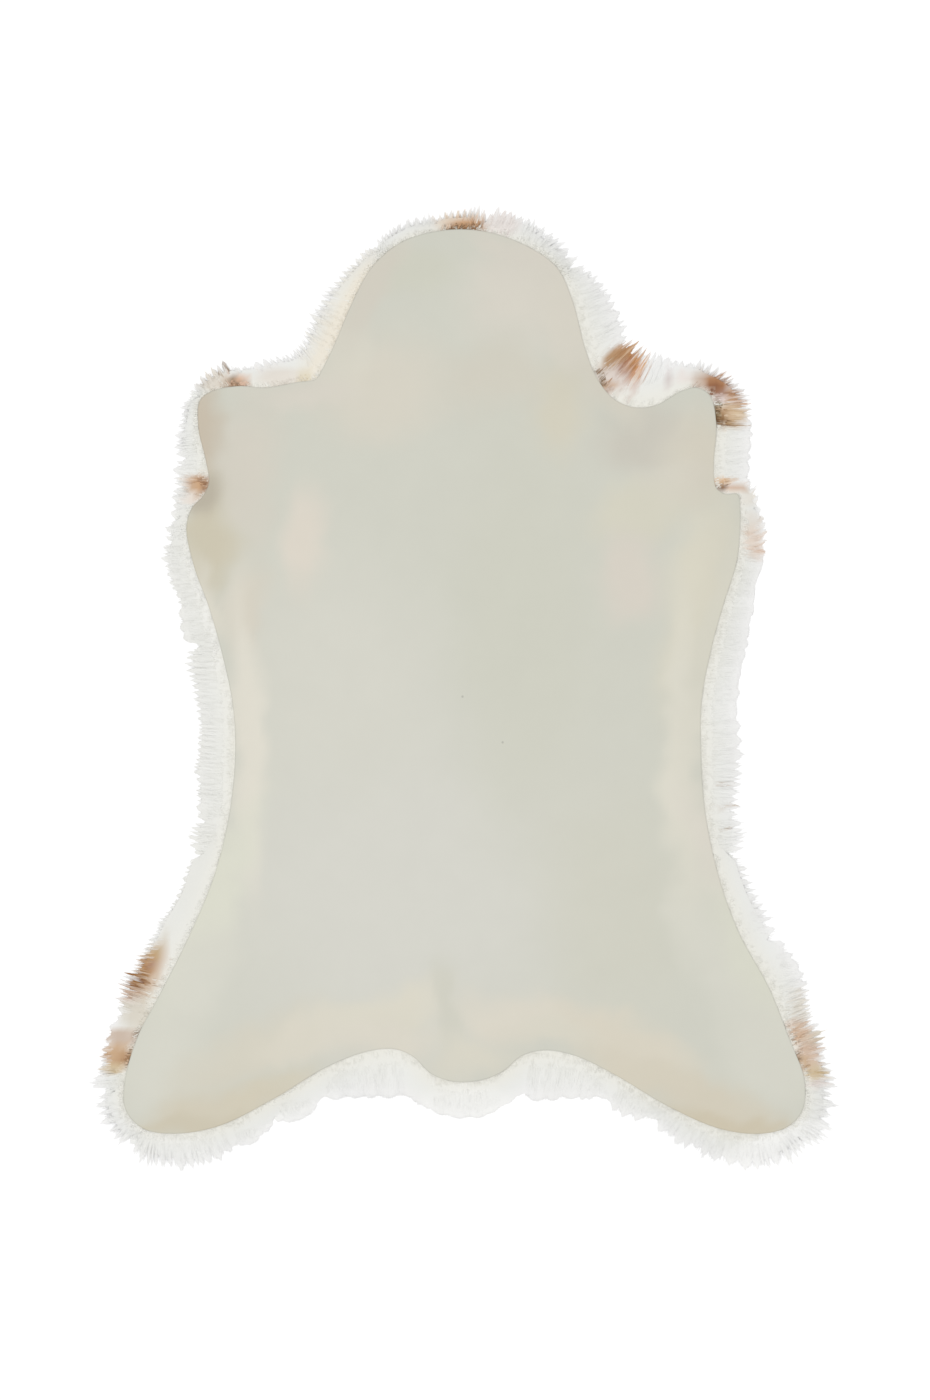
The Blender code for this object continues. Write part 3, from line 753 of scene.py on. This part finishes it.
#  mm round the rim, how much more it reaches there, half width in mm
LONG_TUFTS = (
    (10, 0.08, 10), (540, 0.06, 8), (578, 0.14, 16), (700, 0.05, 30), (945, 0.04, 22), (973, 0.10, 8),
    (1040, 0.04, 50), (1070, 0.07, 5), (1155, 0.08, 22), (1252, 0.10, 5), (1315, 0.12, 4), (1337, 0.14, 4),
    (1340, 0.06, 55), (1374, 0.10, 4), (1388, 0.12, 4), (1419, 0.12, 4), (1535, 0.06, 50), (1552, 0.08, 8),
    (1616, 0.15, 9), (1634, 0.22, 9), (1649, 0.18, 6), (1755, 0.07, 16), (1917, 0.12, 6), (2054, 0.19, 7),
    (2068, 0.17, 11), (2080, 0.06, 40), (2085, 0.12, 8), (2132, 0.18, 10), (2186, 0.08, 6), (2210, 0.08, 24),
    (2280, 0.13, 12), (2311, 0.12, 4), (2322, 0.08, 4), (2336, 0.12, 4), (2358, 0.14, 4), (2384, 0.20, 6),
    (2720, 0.16, 9), (2802, 0.10, 8), (2980, 0.07, 14), (3080, 0.08, 12), (3114, 0.12, 4), (3287, 0.12, 3),
    (3580, 0.06, 4), (3650, 0.06, 10), (3696, 0.14, 4), (3733, 0.12, 4),
)
rim_wave = WAVE_HEIGHT * unevenness(SKIN_LINE - HIDE_ORIGIN, WAVE_LENGTH)
rim_swell = SWELL * unevenness(HAIR_LINE - HIDE_ORIGIN, SWELL_LENGTH)
rim_width = np.linalg.norm(HAIR_LINE - SKIN_LINE, axis=1)


def coat_reach(travel):
    """How far the coat reaches, this far round the rim, as a share of the way to the hair line."""
    found = USUAL_REACH + round_rim(rim_swell, travel)
    for way, places in ((-1.0, PARTINGS), (1.0, LONG_TUFTS)):
        for middle, change, half_width in places:
            # the shorter way round
            away = (travel - middle * MM + RIM_LENGTH / 2) % RIM_LENGTH - RIM_LENGTH / 2
            found = found + way * change * np.exp(-(away / (half_width * MM)) ** 2)
    return np.maximum(found, LEAST_REACH)


def about_there(values):
    """The least of each value and its neighbours, smoothed: near a parting the coat lies lower."""
    neighbours = range(-2, 3)
    least = np.min([np.roll(values, k) for k in neighbours], 0)
    return np.mean([np.roll(least, k) for k in neighbours], 0)


rim_reach = about_there(coat_reach(RIM_TRAVEL[:-1]))


def coat_height(wave, share, reach):
    """Height of the top of the coat, by the skin's slow wave and by how far the coat reaches."""
    share = share / np.clip(reach, LEAST_REACH, 1.0)
    return np.interp(share, *COAT_PROFILE.T) * MM + wave * ease(WAVE_ENDS - share)


# %% [markdown]
# ## Tufts
#
# Hair doesn't end evenly: locks stick together in tufts, and their tips meet. On a ragged
# stretch of the rim each tuft ends in its own point, nearer or farther than the next, and they
# lean together. On a soft stretch they end side by side, in low round lobes. Every layer of hair
# uses the same tufts, or one layer's points would fill the other's gaps. Within a tuft there are
# finer wisps, placed in the same way.

# %% How the hair ends, all round
#  mm round the rim from the crown, ragged, width of a tuft, and how far its tips lean onwards, mm
ENDINGS = np.array((
    # head, to the right shoulder
    (0, 0.7, 5, -3), (40, 0.4, 12, 3), (62, 0.9, 8, -3), (95, 1.0, 8, 5), (135, 0.8, 9, -4),
    (150, 0.55, 9, -5), (200, 0.3, 13, -3), (240, 0.3, 8, 2), (262, 0.5, 6, 2), (312, 0.1, 14, -8),
    (345, 0.3, 9, -6), (368, 0.85, 6.5, -3), (435, 0.7, 7, 0), (450, 0.1, 12, 0), (525, 0.1, 12, 0),
    (535, 0.3, 10, -12), (560, 0.4, 11, -16), (600, 0.4, 14, -14), (624, 0.1, 16, -6), (640, 0.0, 20, -2),
    # right side
    (800, 0.1, 20, -2), (850, 0.2, 12, -2), (900, 0.35, 6, -3), (945, 0.5, 9, -3), (970, 0.6, 6, -8),
    (1000, 0.8, 9, -10), (1030, 0.7, 7, -6), (1065, 0.7, 13, -8), (1120, 0.4, 16, -6), (1165, 0.1, 18, -2),
    (1195, 0.5, 6, -3), (1250, 0.6, 6, 0), (1310, 0.7, 8, 0), (1330, 0.9, 11, 0), (1430, 0.9, 10, 0),
    (1445, 0.5, 5, -3),
    # hem
    (1460, 0.35, 14, 0), (1540, 0.45, 10, 0), (1600, 0.35, 14, 4), (1670, 0.1, 20, 5), (1860, 0.05, 20, 6),
    (2035, 0.1, 24, -12), (2110, 0.2, 24, -8), (2200, 0.4, 14, -6), (2260, 0.7, 8, -4),
    # left side
    (2300, 0.95, 9, 0), (2370, 0.9, 10, 2), (2390, 0.5, 5, 2), (2460, 0.2, 12, 4), (2500, 0.6, 5, 2),
    (2540, 0.5, 5, 3), (2580, 0.5, 5.5, 4), (2610, 0.35, 7, 7), (2690, 0.3, 8, 6), (2720, 0.55, 6, 8),
    (2750, 0.25, 8, 7), (2810, 0.2, 6, 3), (2890, 0.3, 7, 3), (2955, 0.5, 6, 4), (2966, 0.1, 16, 0),
    (3045, 0.3, 9, 4), (3090, 0.7, 7, 7), (3120, 0.7, 10, 8), (3140, 0.35, 12, 5), (3200, 0.5, 9, 5),
    (3240, 0.9, 7, 2), (3280, 1.0, 8, 0), (3340, 0.8, 8, 5),
    # left shoulder, to the head
    (3360, 0.35, 10, 5), (3440, 0.6, 5, 4), (3520, 0.75, 7, 2), (3600, 0.95, 8, 2), (3640, 1.0, 7, 0),
    (3680, 0.8, 8, -5), (3725, 1.0, 5, -2),
))
NARROWEST, WIDEST = 0.4, 1.7           # tuft, as shares of the usual one
WISP_SHARE = 0.42                      # width of a wisp, as a share of a tuft's
TIP_REACH, TUFT_STEP = 0.28, 0.08      # how much farther a ragged tuft's tip reaches, and up or down
LOBE_DEPTH, TUFT_DEPTH, WISP_DEPTH = 0.05, 0.62, 0.10  # how far their sides end before their middles
LOBE_POWER, TUFT_POWER = 4, 0.8        # a high power makes a round lobe, and a low one a point
STREAK_LENGTH, STREAK_WIDTH = 3.2 * MM, 0.8 * MM       # how far colour is moved along and across
PIGMENT = (0.75, 1.35)                 # how much pigment a wisp has, against the usual
TUFT_SEED = 5


def ending(travel):
    """Ragged, and the tufts' width and lean, this far round the rim."""
    ragged, width, lean = (
        np.interp(travel, ENDINGS[:, 0] * MM, column, period=RIM_LENGTH) for column in ENDINGS.T[1:]
    )
    return ragged, width * MM, lean * MM


# %% Tufts and wisps, as stretches of the rim
def stretches(draw, share):
    """Where one tuft ends and the next begins; share is how wide they are against the usual."""
    edges = [0.0]
    while edges[-1] < RIM_LENGTH:
        width = ending(edges[-1])[1]
        edges.append(edges[-1] + share * width * draw.uniform(NARROWEST, WIDEST))
    return np.array(edges) * RIM_LENGTH / edges[-1]


def stands_in(travel, edges):
    """The tuft that each strand stands in: its number, its middle and half its width."""
    number = np.clip(np.searchsorted(edges, travel, side="right") - 1, 0, len(edges) - 2)
    return number, (edges[number] + edges[number + 1]) / 2, (edges[number + 1] - edges[number]) / 2


def hair_ends(travel):
    """How far the hair reaches that ends this far round the rim, each strand as part of its tuft."""
    ragged = ending(travel)[0]
    tuft, middle, half = stands_in(travel, TUFTS)
    wisp_middle, wisp_half = stands_in(travel, WISPS)[1:]
    side = np.abs(travel - middle) / half
    found = coat_reach(travel) + ragged * (TIP_REACH + TUFT_STEPS[tuft])
    found -= LOBE_DEPTH * (1.0 - ragged) * side ** LOBE_POWER + TUFT_DEPTH * ragged * side ** TUFT_POWER
    return found - WISP_DEPTH * ragged * np.abs(travel - wisp_middle) / wisp_half


draw = np.random.default_rng(TUFT_SEED)
TUFTS, WISPS = stretches(draw, 1.0), stretches(draw, WISP_SHARE)
TUFT_STEPS = np.minimum(draw.exponential(TUFT_STEP, len(TUFTS)) - TUFT_STEP, 2.0 * TUFT_STEP)
WISP_SHIFTS = draw.normal(0.0, STREAK_LENGTH, len(WISPS))
WISP_PIGMENT = draw.uniform(*PIGMENT, len(WISPS))
print("tufts:", len(TUFTS) - 1, "wisps:", len(WISPS) - 1)

# %% [markdown]
# ## The undercoat
#
# Under its long hairs a reindeer has fine wool, so dense that no skin shows through. Here it
# is one soft slab, cut out like the skin, that goes on past the skin's edge to where the tufts
# part. Hair covers it there, and it lies close under the hair, because a gap between two locks
# shows it, and a deep gap would be dark where real wool is white.

# %% Cut out the undercoat
UNDERCOAT_CELL = 8.5 * MM
HAIR_OVER, SKIN_OVER = 0.8 * MM, 0.8 * MM              # how much hair, and room, lies over it
UNDERCOAT_LEAST = 0.72                 # its height at the rim, as a share of the coat's
UNDERCOAT_LOW = 0.4 * MM               # how much lower still it lies in the outer half of the rim,
LOW_FROM, LOW_OVER = 0.35, 0.35        # from this share of the way out, and over this much of it
UNDERCOAT_CROWN = 13.2 * MM            # its height beside the skin, where the hair dips under
UNDERCOAT_FLOOR = 3.0 * MM             # height of its under side, give or take half a bulge
BULGE_HEIGHT, BULGE_LENGTH, BULGE_LAYER = 2.0 * MM, 60.0 * MM, 5.0
FLOOR_CLEARANCE = 0.25 * MM
USUAL_WOOL, LEAST_WOOL = 1.0 * MM, 0.3 * MM            # its thickness where the coat runs out


def nearest(points, line):
    """The number of the line's point that is nearest to each point."""
    return np.array([np.argmin(((line - point) ** 2).sum(1)) for point in points])


parted = np.minimum(coat_reach(RIM_TRAVEL[:-1]), 1.0)
parted += (TIP_REACH - TUFT_DEPTH) * ending(RIM_TRAVEL[:-1])[0]
undercoat = cut_sheet("undercoat", part_way(SKIN_LINE, HAIR_LINE, parted[:, None]), UNDERCOAT_CELL)
points = points_of(undercoat)
flat = points[:, :2]
depth = depth_in(flat, SKIN_LINE)
near = nearest(flat, SKIN_LINE)
share = np.maximum(-depth, 0.0) / rim_width[near]

# %% Lay it close under the hair, and under the skin
coat_top = coat_height(rim_wave[near], share, rim_reach[near])
under_hair = np.maximum(coat_top - HAIR_OVER, UNDERCOAT_LEAST * coat_top)
under_hair -= UNDERCOAT_LOW * ease((share - LOW_FROM) / LOW_OVER)
under_hair = np.minimum(under_hair, UNDERCOAT_CROWN + rim_wave[near])
under_skin = pile_height(flat, np.maximum(depth, 0.0)) - SKIN_OVER
top = np.where(depth > 0.0, under_skin, under_hair)
bottom = UNDERCOAT_FLOOR + BULGE_HEIGHT * unevenness(flat, BULGE_LENGTH, BULGE_LAYER)
bottom = np.clip(bottom, FLOOR_CLEARANCE, np.maximum(top - USUAL_WOOL, FLOOR_CLEARANCE))
top = np.maximum(top, bottom + LEAST_WOOL)
points[:, 2] = np.where(points[:, 2] > 0.0, top, bottom)
lay(undercoat, points)
paint(undercoat, "tint", coat_tint(flat, share))

# %% [markdown]
# ## Locks of hair
#
# A lock is a tapered three-sided strand: three rings of three points, and a tip. That is
# sixteen triangles, few enough for 45,000 locks. They are worked out as arrays and joined into
# one mesh a layer, because 45,000 objects would stop Blender. Each strand also gets its own
# small square of a UV map, so that its colours can be kept in an image. It is flatter than it
# is wide: that is how a lock lies, and it keeps the coat smooth.

# %% Join strands into one mesh
RINGS = 3
RING_PLACES = np.array((0.0, 0.42, 0.84, 1.0))         # of the rings and the tip, along a strand
STRAND_FLATNESS = 0.18                 # height of a strand, as a share of half its width
NEVER_ZERO = 1e-9                      # least length that is divided by


def unit(directions):
    """Directions, each made one long."""
    return directions / np.maximum(np.linalg.norm(directions, axis=-1, keepdims=True), NEVER_ZERO)


def strand_corners(lines, half_widths):
    """The nine ring corners and the tip of each strand, from its centre line."""
    towards = lines[:, 1:, :2] - lines[:, :-1, :2]
    towards = unit(np.concatenate((towards[:, :1], towards[:, :-1] + towards[:, 1:]), 1))
    left = np.stack((-towards[..., 1], towards[..., 0], 0 * towards[..., 0]), -1)
    wide = half_widths[..., None]
    rings = lines[:, :RINGS]
    ridge = np.array((0.0, 0.0, STRAND_FLATNESS)) * wide
    corners = np.stack((rings + left * wide, rings + ridge, rings - left * wide), 2)
    corners = corners.reshape(len(lines), -1, 3)
    return np.concatenate((corners, lines[:, RINGS:]), 1)


def strand_faces():
    """The sixteen triangles of one strand, by the numbers of its ten points."""
    faces = [(0, 2, 1)]
    for k in range(RINGS):
        for a, b in ((0, 1), (1, 2), (2, 0)):
            start, end = 3 * k + a, 3 * k + b
            if k == RINGS - 1:
                faces.append((start, end, 3 * RINGS))
            else:
                faces += [(start, end, end + 3), (start, end + 3, start + 3)]
    return np.array(faces)


# %% The strands' map, and the mesh
MAP_MARGIN = 0.08                      # round a strand, as a share of its square on the map
ROOT_BEHIND = -0.05                    # the root's ridge is drawn behind it, so that its face shows


def strand_map(count):
    """Where each point of each strand lies on the map: a square for each strand."""
    side = math.ceil(count ** 0.5)
    squares = np.stack(np.divmod(np.arange(count), side), 1)[:, None]
    across = np.array([0.0, 0.5, 1.0] * RINGS + [0.5])     # left, ridge and right, and the tip
    along = np.append(np.repeat(RING_PLACES[:RINGS], 3), 1.0)
    along[1] = ROOT_BEHIND
    own = MAP_MARGIN + (1 - 2 * MAP_MARGIN) * np.stack((across, along), -1)
    return (squares + own) / side


def join_strands(name, lines, half_widths, colours):
    """One mesh of all the strands, with a colour on each point."""
    lines[..., 2] = np.maximum(lines[..., 2], FLOOR_CLEARANCE)
    corners = strand_corners(lines, half_widths)
    count, each = corners.shape[:2]
    faces = (strand_faces() + each * np.arange(count)[:, None, None]).reshape(-1, 3)
    mesh = bpy.data.meshes.new(name)
    mesh.from_pydata(corners.reshape(-1, 3), [], faces)
    mesh.uv_layers.new(name="OFBake")
    mesh.uv_layers[0].data.foreach_set("uv", strand_map(count).reshape(-1, 2)[faces].ravel())
    mesh.shade_flat()
    piece = bpy.data.objects.new(name, mesh)
    bpy.context.scene.collection.objects.link(piece)
    paint(piece, "tint", np.repeat(colours, [3] * RINGS + [1], axis=1).reshape(-1, 3))
    print(name, "strands:", count, "triangles:", len(faces))
    return piece


# %% [markdown]
# ## Hair at the rim
#
# Each wisp has a broad flat strand low down as its body, so that its tip is solid. Three layers
# over that, from long hair to short, give the rim its thickness, and a few loose single hairs
# blur its edge. A strand bends towards the middle of its wisp and of its tuft, more and more
# towards its tip.

# %% The colours along a strand
WHITEST = 0.97                         # no hair gives back more light than this
HAIR_PIGMENT = (0.92, 1.08)            # how much pigment a strand has, against its wisp's
HAIR_SHIFT = 0.5                       # how far its colour is moved, against its wisp's


def strand_colours(draw, lines, places, shares, shift=0.0, pigment=1.0):
    """Colours looked up along each strand. They are moved a little, so that patches end in
    streaks, and raised to a power, as light dims that goes through more pigment."""
    along = unit(lines[:, -1, :2] - lines[:, 0, :2])
    aside = along[:, ::-1] * (-1.0, 1.0)
    moved = along * (shift + draw.normal(0.0, HAIR_SHIFT * STREAK_LENGTH, (len(lines), 1)))
    moved += aside * draw.normal(0.0, STREAK_WIDTH, (len(lines), 1))
    found = np.clip(coat_tint(places + moved[:, None], shares), 0.0, WHITEST)
    more = pigment * draw.uniform(*HAIR_PIGMENT, (len(lines), 1)) - 1.0
    return found ** (1.0 + more[..., None] * (1.0 - found.min(-1, keepdims=True)))


# %% One layer of strands
TUFT_PULL, WISP_PULL = 0.50, 0.45      # how far a tip bends to the middle of its tuft and wisp,
BEND_POWER = 2.5                       # and how much of the bend comes late
RING_POWER = 0.9                       # below 1, a strand's rings lie nearer its tip
SWAY = 0.5                             # how far a strand sways to one side, mm
HAIR_TAPER = np.array((0.8, 1.0, 0.8))                 # of a strand's width, ring by ring
TIP_COLOUR = 0.95                      # farther out than this, a tip is coloured as the lock behind it
TIP_LEVEL = 0.92                       # a strand's tip lies lower in the coat than its root
SOFT_VARIETY = 0.3                     # where the rim is soft, lengths differ only so much


def grow(name, draw, travel, starts, level, own, half_widths, loose=0.0):
    """Strands that end this far round the rim; every column has one row for each strand. Loose
    is how little they keep to their tuft."""
    ragged, _, lean = ending(travel)
    tuft_middle = stands_in(travel, TUFTS)[1]
    wisp, wisp_middle = stands_in(travel, WISPS)[:2]
    t = RING_PLACES[None]
    bent = (1.0 - loose) * ragged * t ** BEND_POWER
    ends = part_way(hair_ends(travel), coat_reach(travel) + TIP_REACH * ragged, loose)
    shares = part_way(starts * np.minimum(ends, 1.0), ends * own, t ** RING_POWER)
    places = travel - lean * (1.0 - shares * shares)
    places += (TUFT_PULL * (tuft_middle - travel) + WISP_PULL * (wisp_middle - travel)) * bent
    places += draw.normal(size=travel.shape) * SWAY * np.sin(math.pi * t) * MM
    reach = np.minimum(ends, round_rim(rim_reach, places))
    heights = coat_height(round_rim(rim_wave, places), shares, reach)
    lines = np.concatenate((rim_point(places, shares), (heights * level)[..., None]), 2)
    of_own = shares / np.maximum(coat_reach(travel), 1.0)
    looked_up = rim_point(places, np.minimum(shares, TIP_COLOUR))
    colours = strand_colours(draw, lines, looked_up, of_own, WISP_SHIFTS[wisp], WISP_PIGMENT[wisp])
    return join_strands(name, lines, half_widths * HAIR_TAPER, colours)


def grow_layer(name, seed, count, roots, levels, length, widths, loose):
    """Grows a layer: roots, levels, length and widths are (least, most) of their kind."""
    draw = np.random.default_rng(seed)
    one_each = (count, 1)
    travel = (np.arange(count)[:, None] + draw.uniform(0.0, 1.0, one_each)) * RIM_LENGTH / count
    root_level = draw.uniform(*levels, one_each)
    level = part_way(root_level, draw.uniform(*levels, one_each) * TIP_LEVEL, RING_PLACES)
    variety = part_way(SOFT_VARIETY, 1.0, ending(travel)[0])
    own = part_way(min(length[1], 1.0), draw.uniform(*length, one_each), variety)
    starts = draw.uniform(*roots, one_each)
    return grow(name, draw, travel, starts, level, own, 0.5 * draw.uniform(*widths, one_each), loose)


# %% Grow the rim
BODY_SEED = 10
BODY_START, BODY_LEVEL, BODY_END, BODY_WIDTH = 0.45, 0.55, 0.95, 1.1  # against its wisp's own hair
wisp_middles = (WISPS[:-1, None] + WISPS[1:, None]) / 2
wisp_halves = (WISPS[1:, None] - WISPS[:-1, None]) / 2
hair_pieces = [grow(
    "hair_wisps", np.random.default_rng(BODY_SEED), wisp_middles,
    BODY_START, BODY_LEVEL, BODY_END, wisp_halves * BODY_WIDTH,
)]
#  name, seed, strands, roots, levels, length, widths, loose
RIM_LAYERS = (
    ("hair_long", 11, 12000, (0.10, 0.80), (0.78, 0.94), (0.94, 1.02), (1.0 * MM, 1.8 * MM), 0.0),
    ("hair_middle", 12, 10600, (-0.10, 0.45), (0.87, 0.98), (0.80, 1.00), (1.0 * MM, 1.7 * MM), 0.0),
    ("hair_short", 13, 9600, (-0.10, 0.06), (0.96, 1.00), (0.45, 0.86), (0.8 * MM, 1.4 * MM), 0.0),
    ("hair_single", 14, 1600, (0.40, 0.80), (0.75, 0.95), (0.90, 1.10), (0.5 * MM, 0.9 * MM), 0.5),
)
hair_pieces += [grow_layer(*layer) for layer in RIM_LAYERS]

# %% [markdown]
# ## The underside
#
# The side that the hide lies on isn't seen in the picture, so it is finished plainly: locks
# pressed flat, combed from head to tail as they grow, and turned outwards near the rim to run
# into the hair there.

# %% Sizes of the underside's locks, and two helpers
UNDERSIDE_SPACING = 8.2 * MM
UNDERSIDE_LENGTH = (42.0 * MM, 66.0 * MM)
SHORTER = 0.55                         # their length at the rim, as a share of that
UNDERSIDE_WIDTH = (4.0 * MM, 6.5 * MM)
UNDERSIDE_TAPER = np.array((0.8, 1.0, 0.7))
TIP_WIDTH = 4.8 * MM                   # the outer two rings are no wider than this
UNDERSIDE_HEIGHTS = np.array((5.6, 2.6, 1.5, 0.7)) * MM
HEIGHTS_VARY = (0.75, 1.15)
ROOTS_REACH, TIPS_REACH = 0.25, 0.75   # shares of the way out: no tip of it shows past the rim
TURN_OUT = 70.0 * MM                   # how far in from the skin's edge locks begin to turn outwards
COMB_SPREAD, CURL = 0.22, 0.07         # how unevenly they are combed, and how much they curl
UNDERSIDE_SEED = 21
HALF_WAY = 0.5                         # the share whose white the whole underside has


def spread_points(draw, line, spacing):
    """Points about evenly spread inside a line."""
    low, high = line.min(0), line.max(0)
    across, along = (np.arange(a, b, spacing) for a, b in zip(low, high))
    grid = np.stack(np.meshgrid(across, along), -1).reshape(-1, 2)
    grid += draw.uniform(-0.5, 0.5, grid.shape) * spacing
    return grid[inside(grid, line)]


def outward(points, line):
    """The direction from each point to the nearest point of a line."""
    return unit(line[nearest(points, line)] - points)


# %% Grow the underside
draw = np.random.default_rng(UNDERSIDE_SEED)
starts = spread_points(draw, part_way(SKIN_LINE, HAIR_LINE, ROOTS_REACH), UNDERSIDE_SPACING)
to_rim = ease(1.0 - depth_in(starts, SKIN_LINE) / TURN_OUT)[:, None]
combed = np.array((0.0, -1.0)) + draw.normal(size=starts.shape) * COMB_SPREAD
towards = unit(part_way(combed, outward(starts, HAIR_LINE), to_rim))
length = draw.uniform(*UNDERSIDE_LENGTH, (len(starts), 1)) * part_way(1.0, SHORTER, to_rim)
room = depth_in(starts, part_way(SKIN_LINE, HAIR_LINE, TIPS_REACH))[:, None]
length = np.minimum(length, room)[..., None]
flat = starts[:, None] + towards[:, None] * length * RING_PLACES[:, None]
flat += draw.normal(size=(len(starts), 1, 2)) * CURL * length * (RING_PLACES ** 2)[:, None]
heights = UNDERSIDE_HEIGHTS * draw.uniform(*HEIGHTS_VARY, (len(starts), 1))
lines = np.concatenate((flat, heights[..., None]), 2)
half_widths = 0.5 * draw.uniform(*UNDERSIDE_WIDTH, (len(starts), 1)) * UNDERSIDE_TAPER
half_widths[:, 1:] = np.minimum(half_widths[:, 1:], 0.5 * TIP_WIDTH)
colours = strand_colours(draw, lines, flat, np.full(flat.shape[:2], HALF_WAY))
hair_pieces.append(join_strands("hair_underside", lines, half_widths, colours))

# %% [markdown]
# ## Winter hair
#
# Reindeer hair is hollow, which makes it white and matt rather than glossy. Light that enters
# one hair comes out into the next, so a white coat is bright even in its gaps. That is a pale
# colour with a middling roughness and no clear layer over it. A slow noise along the hair
# keeps it from being one even white. The wool under it is the same, but rougher.

# %% Hollow winter hair, and the wool under it
YELLOWING_SIZE = 60.0 * MM             # of the places where the coat has yellowed a little
WHITE, YELLOWED = (1.0, 1.0, 1.0, 1.0), (0.99, 0.982, 0.962, 1.0)


def hair_material(name, roughness):
    """Hair of the colour on its points, with clouds that are a little yellower."""
    material, shader = new_material(name, {"Roughness": roughness, "Specular IOR Level": 0.3, "IOR": 1.55})
    place = add_node(material, "TexCoord").outputs["Object"]
    tint = add_node(material, "Attribute", attribute_name="tint").outputs["Color"]
    cloud = add_node(material, "TexNoise", [
        ("Vector", place), ("Scale", 1 / YELLOWING_SIZE), ("Detail", 2.0),
    ]).outputs["Fac"]
    # a Mix node's sockets 0, 6 and 7 are its share and two colours, and its output 2 is the mix
    warmer = add_node(material, "Mix", [(0, cloud), (6, WHITE), (7, YELLOWED)], data_type="RGBA")
    mixed = add_node(material, "Mix", [
        (0, 1.0), (6, tint), (7, warmer.outputs[2]),
    ], data_type="RGBA", blend_type="MULTIPLY")
    material.node_tree.links.new(mixed.outputs[2], shader.inputs["Base Color"])
    return material


winter_hair = hair_material("winter_hair_hollow", 0.62)
wool = hair_material("undercoat_wool", 0.9)
for piece in hair_pieces:
    piece.data.materials.append(winter_hair)
undercoat.data.materials.append(wool)
print("nodes of the hair and of the wool:", len(winter_hair.node_tree.nodes), len(wool.node_tree.nodes))

# %% [markdown]
# ## One body for every piece
#
# The hide moves as one, so every piece rides on the one body, and the imported solids are hidden.

for piece in (undercoat, *hair_pieces):
    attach(piece, "root")
    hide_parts("fur_pile")
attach(skin, "root")
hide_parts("skin")

# %% [markdown]
# ## Floor and light
#
# The hide lies on a white sweep under one very large soft light, above and a little to the
# left, with as much again from all round. That keeps shadows out from under the rim, and lets
# the white hair stand out from the white floor by its own shading only.

# %% Floor
FLOOR_SIZE = 14.0
GRAIN_SCALE, PAPER_LEAST, PAPER_MOST = 40.0, 0.95, 0.97  # a faint grain in the paper
deselect()
bpy.ops.mesh.primitive_plane_add(size=FLOOR_SIZE, location=(0, 0, 0))
floor = bpy.context.object
floor.name = "floor_sweep"
paper, shader = new_material("matt_white_paper", {"Roughness": 0.95, "Specular IOR Level": 0.1})
grain = add_node(paper, "TexNoise", [("Scale", GRAIN_SCALE), ("Detail", 2.0)]).outputs["Fac"]
tone = add_node(paper, "MapRange", [("Value", grain), ("To Min", PAPER_LEAST), ("To Max", PAPER_MOST)])
paper.node_tree.links.new(tone.outputs[0], shader.inputs["Base Color"])
floor.data.materials.append(paper)
floor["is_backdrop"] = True

# %% Light
SOFT_BOX_SIZE, SOFT_BOX_LEFT, SOFT_BOX_HEIGHT = 5.0, 0.5, 6.5
SOFT_BOX_POWER, AMBIENT = 255.0 * EXPOSURE, 0.473 * EXPOSURE
bpy.ops.object.light_add(type="AREA", location=(-SOFT_BOX_LEFT, 0.0, SOFT_BOX_HEIGHT))
soft_box = bpy.context.object
soft_box.name = "soft_box"
soft_box.data.size = SOFT_BOX_SIZE
soft_box.data.energy = SOFT_BOX_POWER
world = bpy.data.worlds.new("white_room")
world.use_nodes = True
around = world.node_tree.nodes["Background"]
around.inputs["Color"].default_value = WHITE
around.inputs["Strength"].default_value = AMBIENT
bpy.context.scene.world = world
bpy.context.scene.view_settings.view_transform = "Standard"
bpy.context.scene.view_settings.look = "None"
print("light: soft box", round(SOFT_BOX_POWER), "W, from all round", round(AMBIENT, 2))

# %% Print the dressed box, and finish
dressed_low, dressed_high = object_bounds()
print_box("dressed", dressed_low, dressed_high)
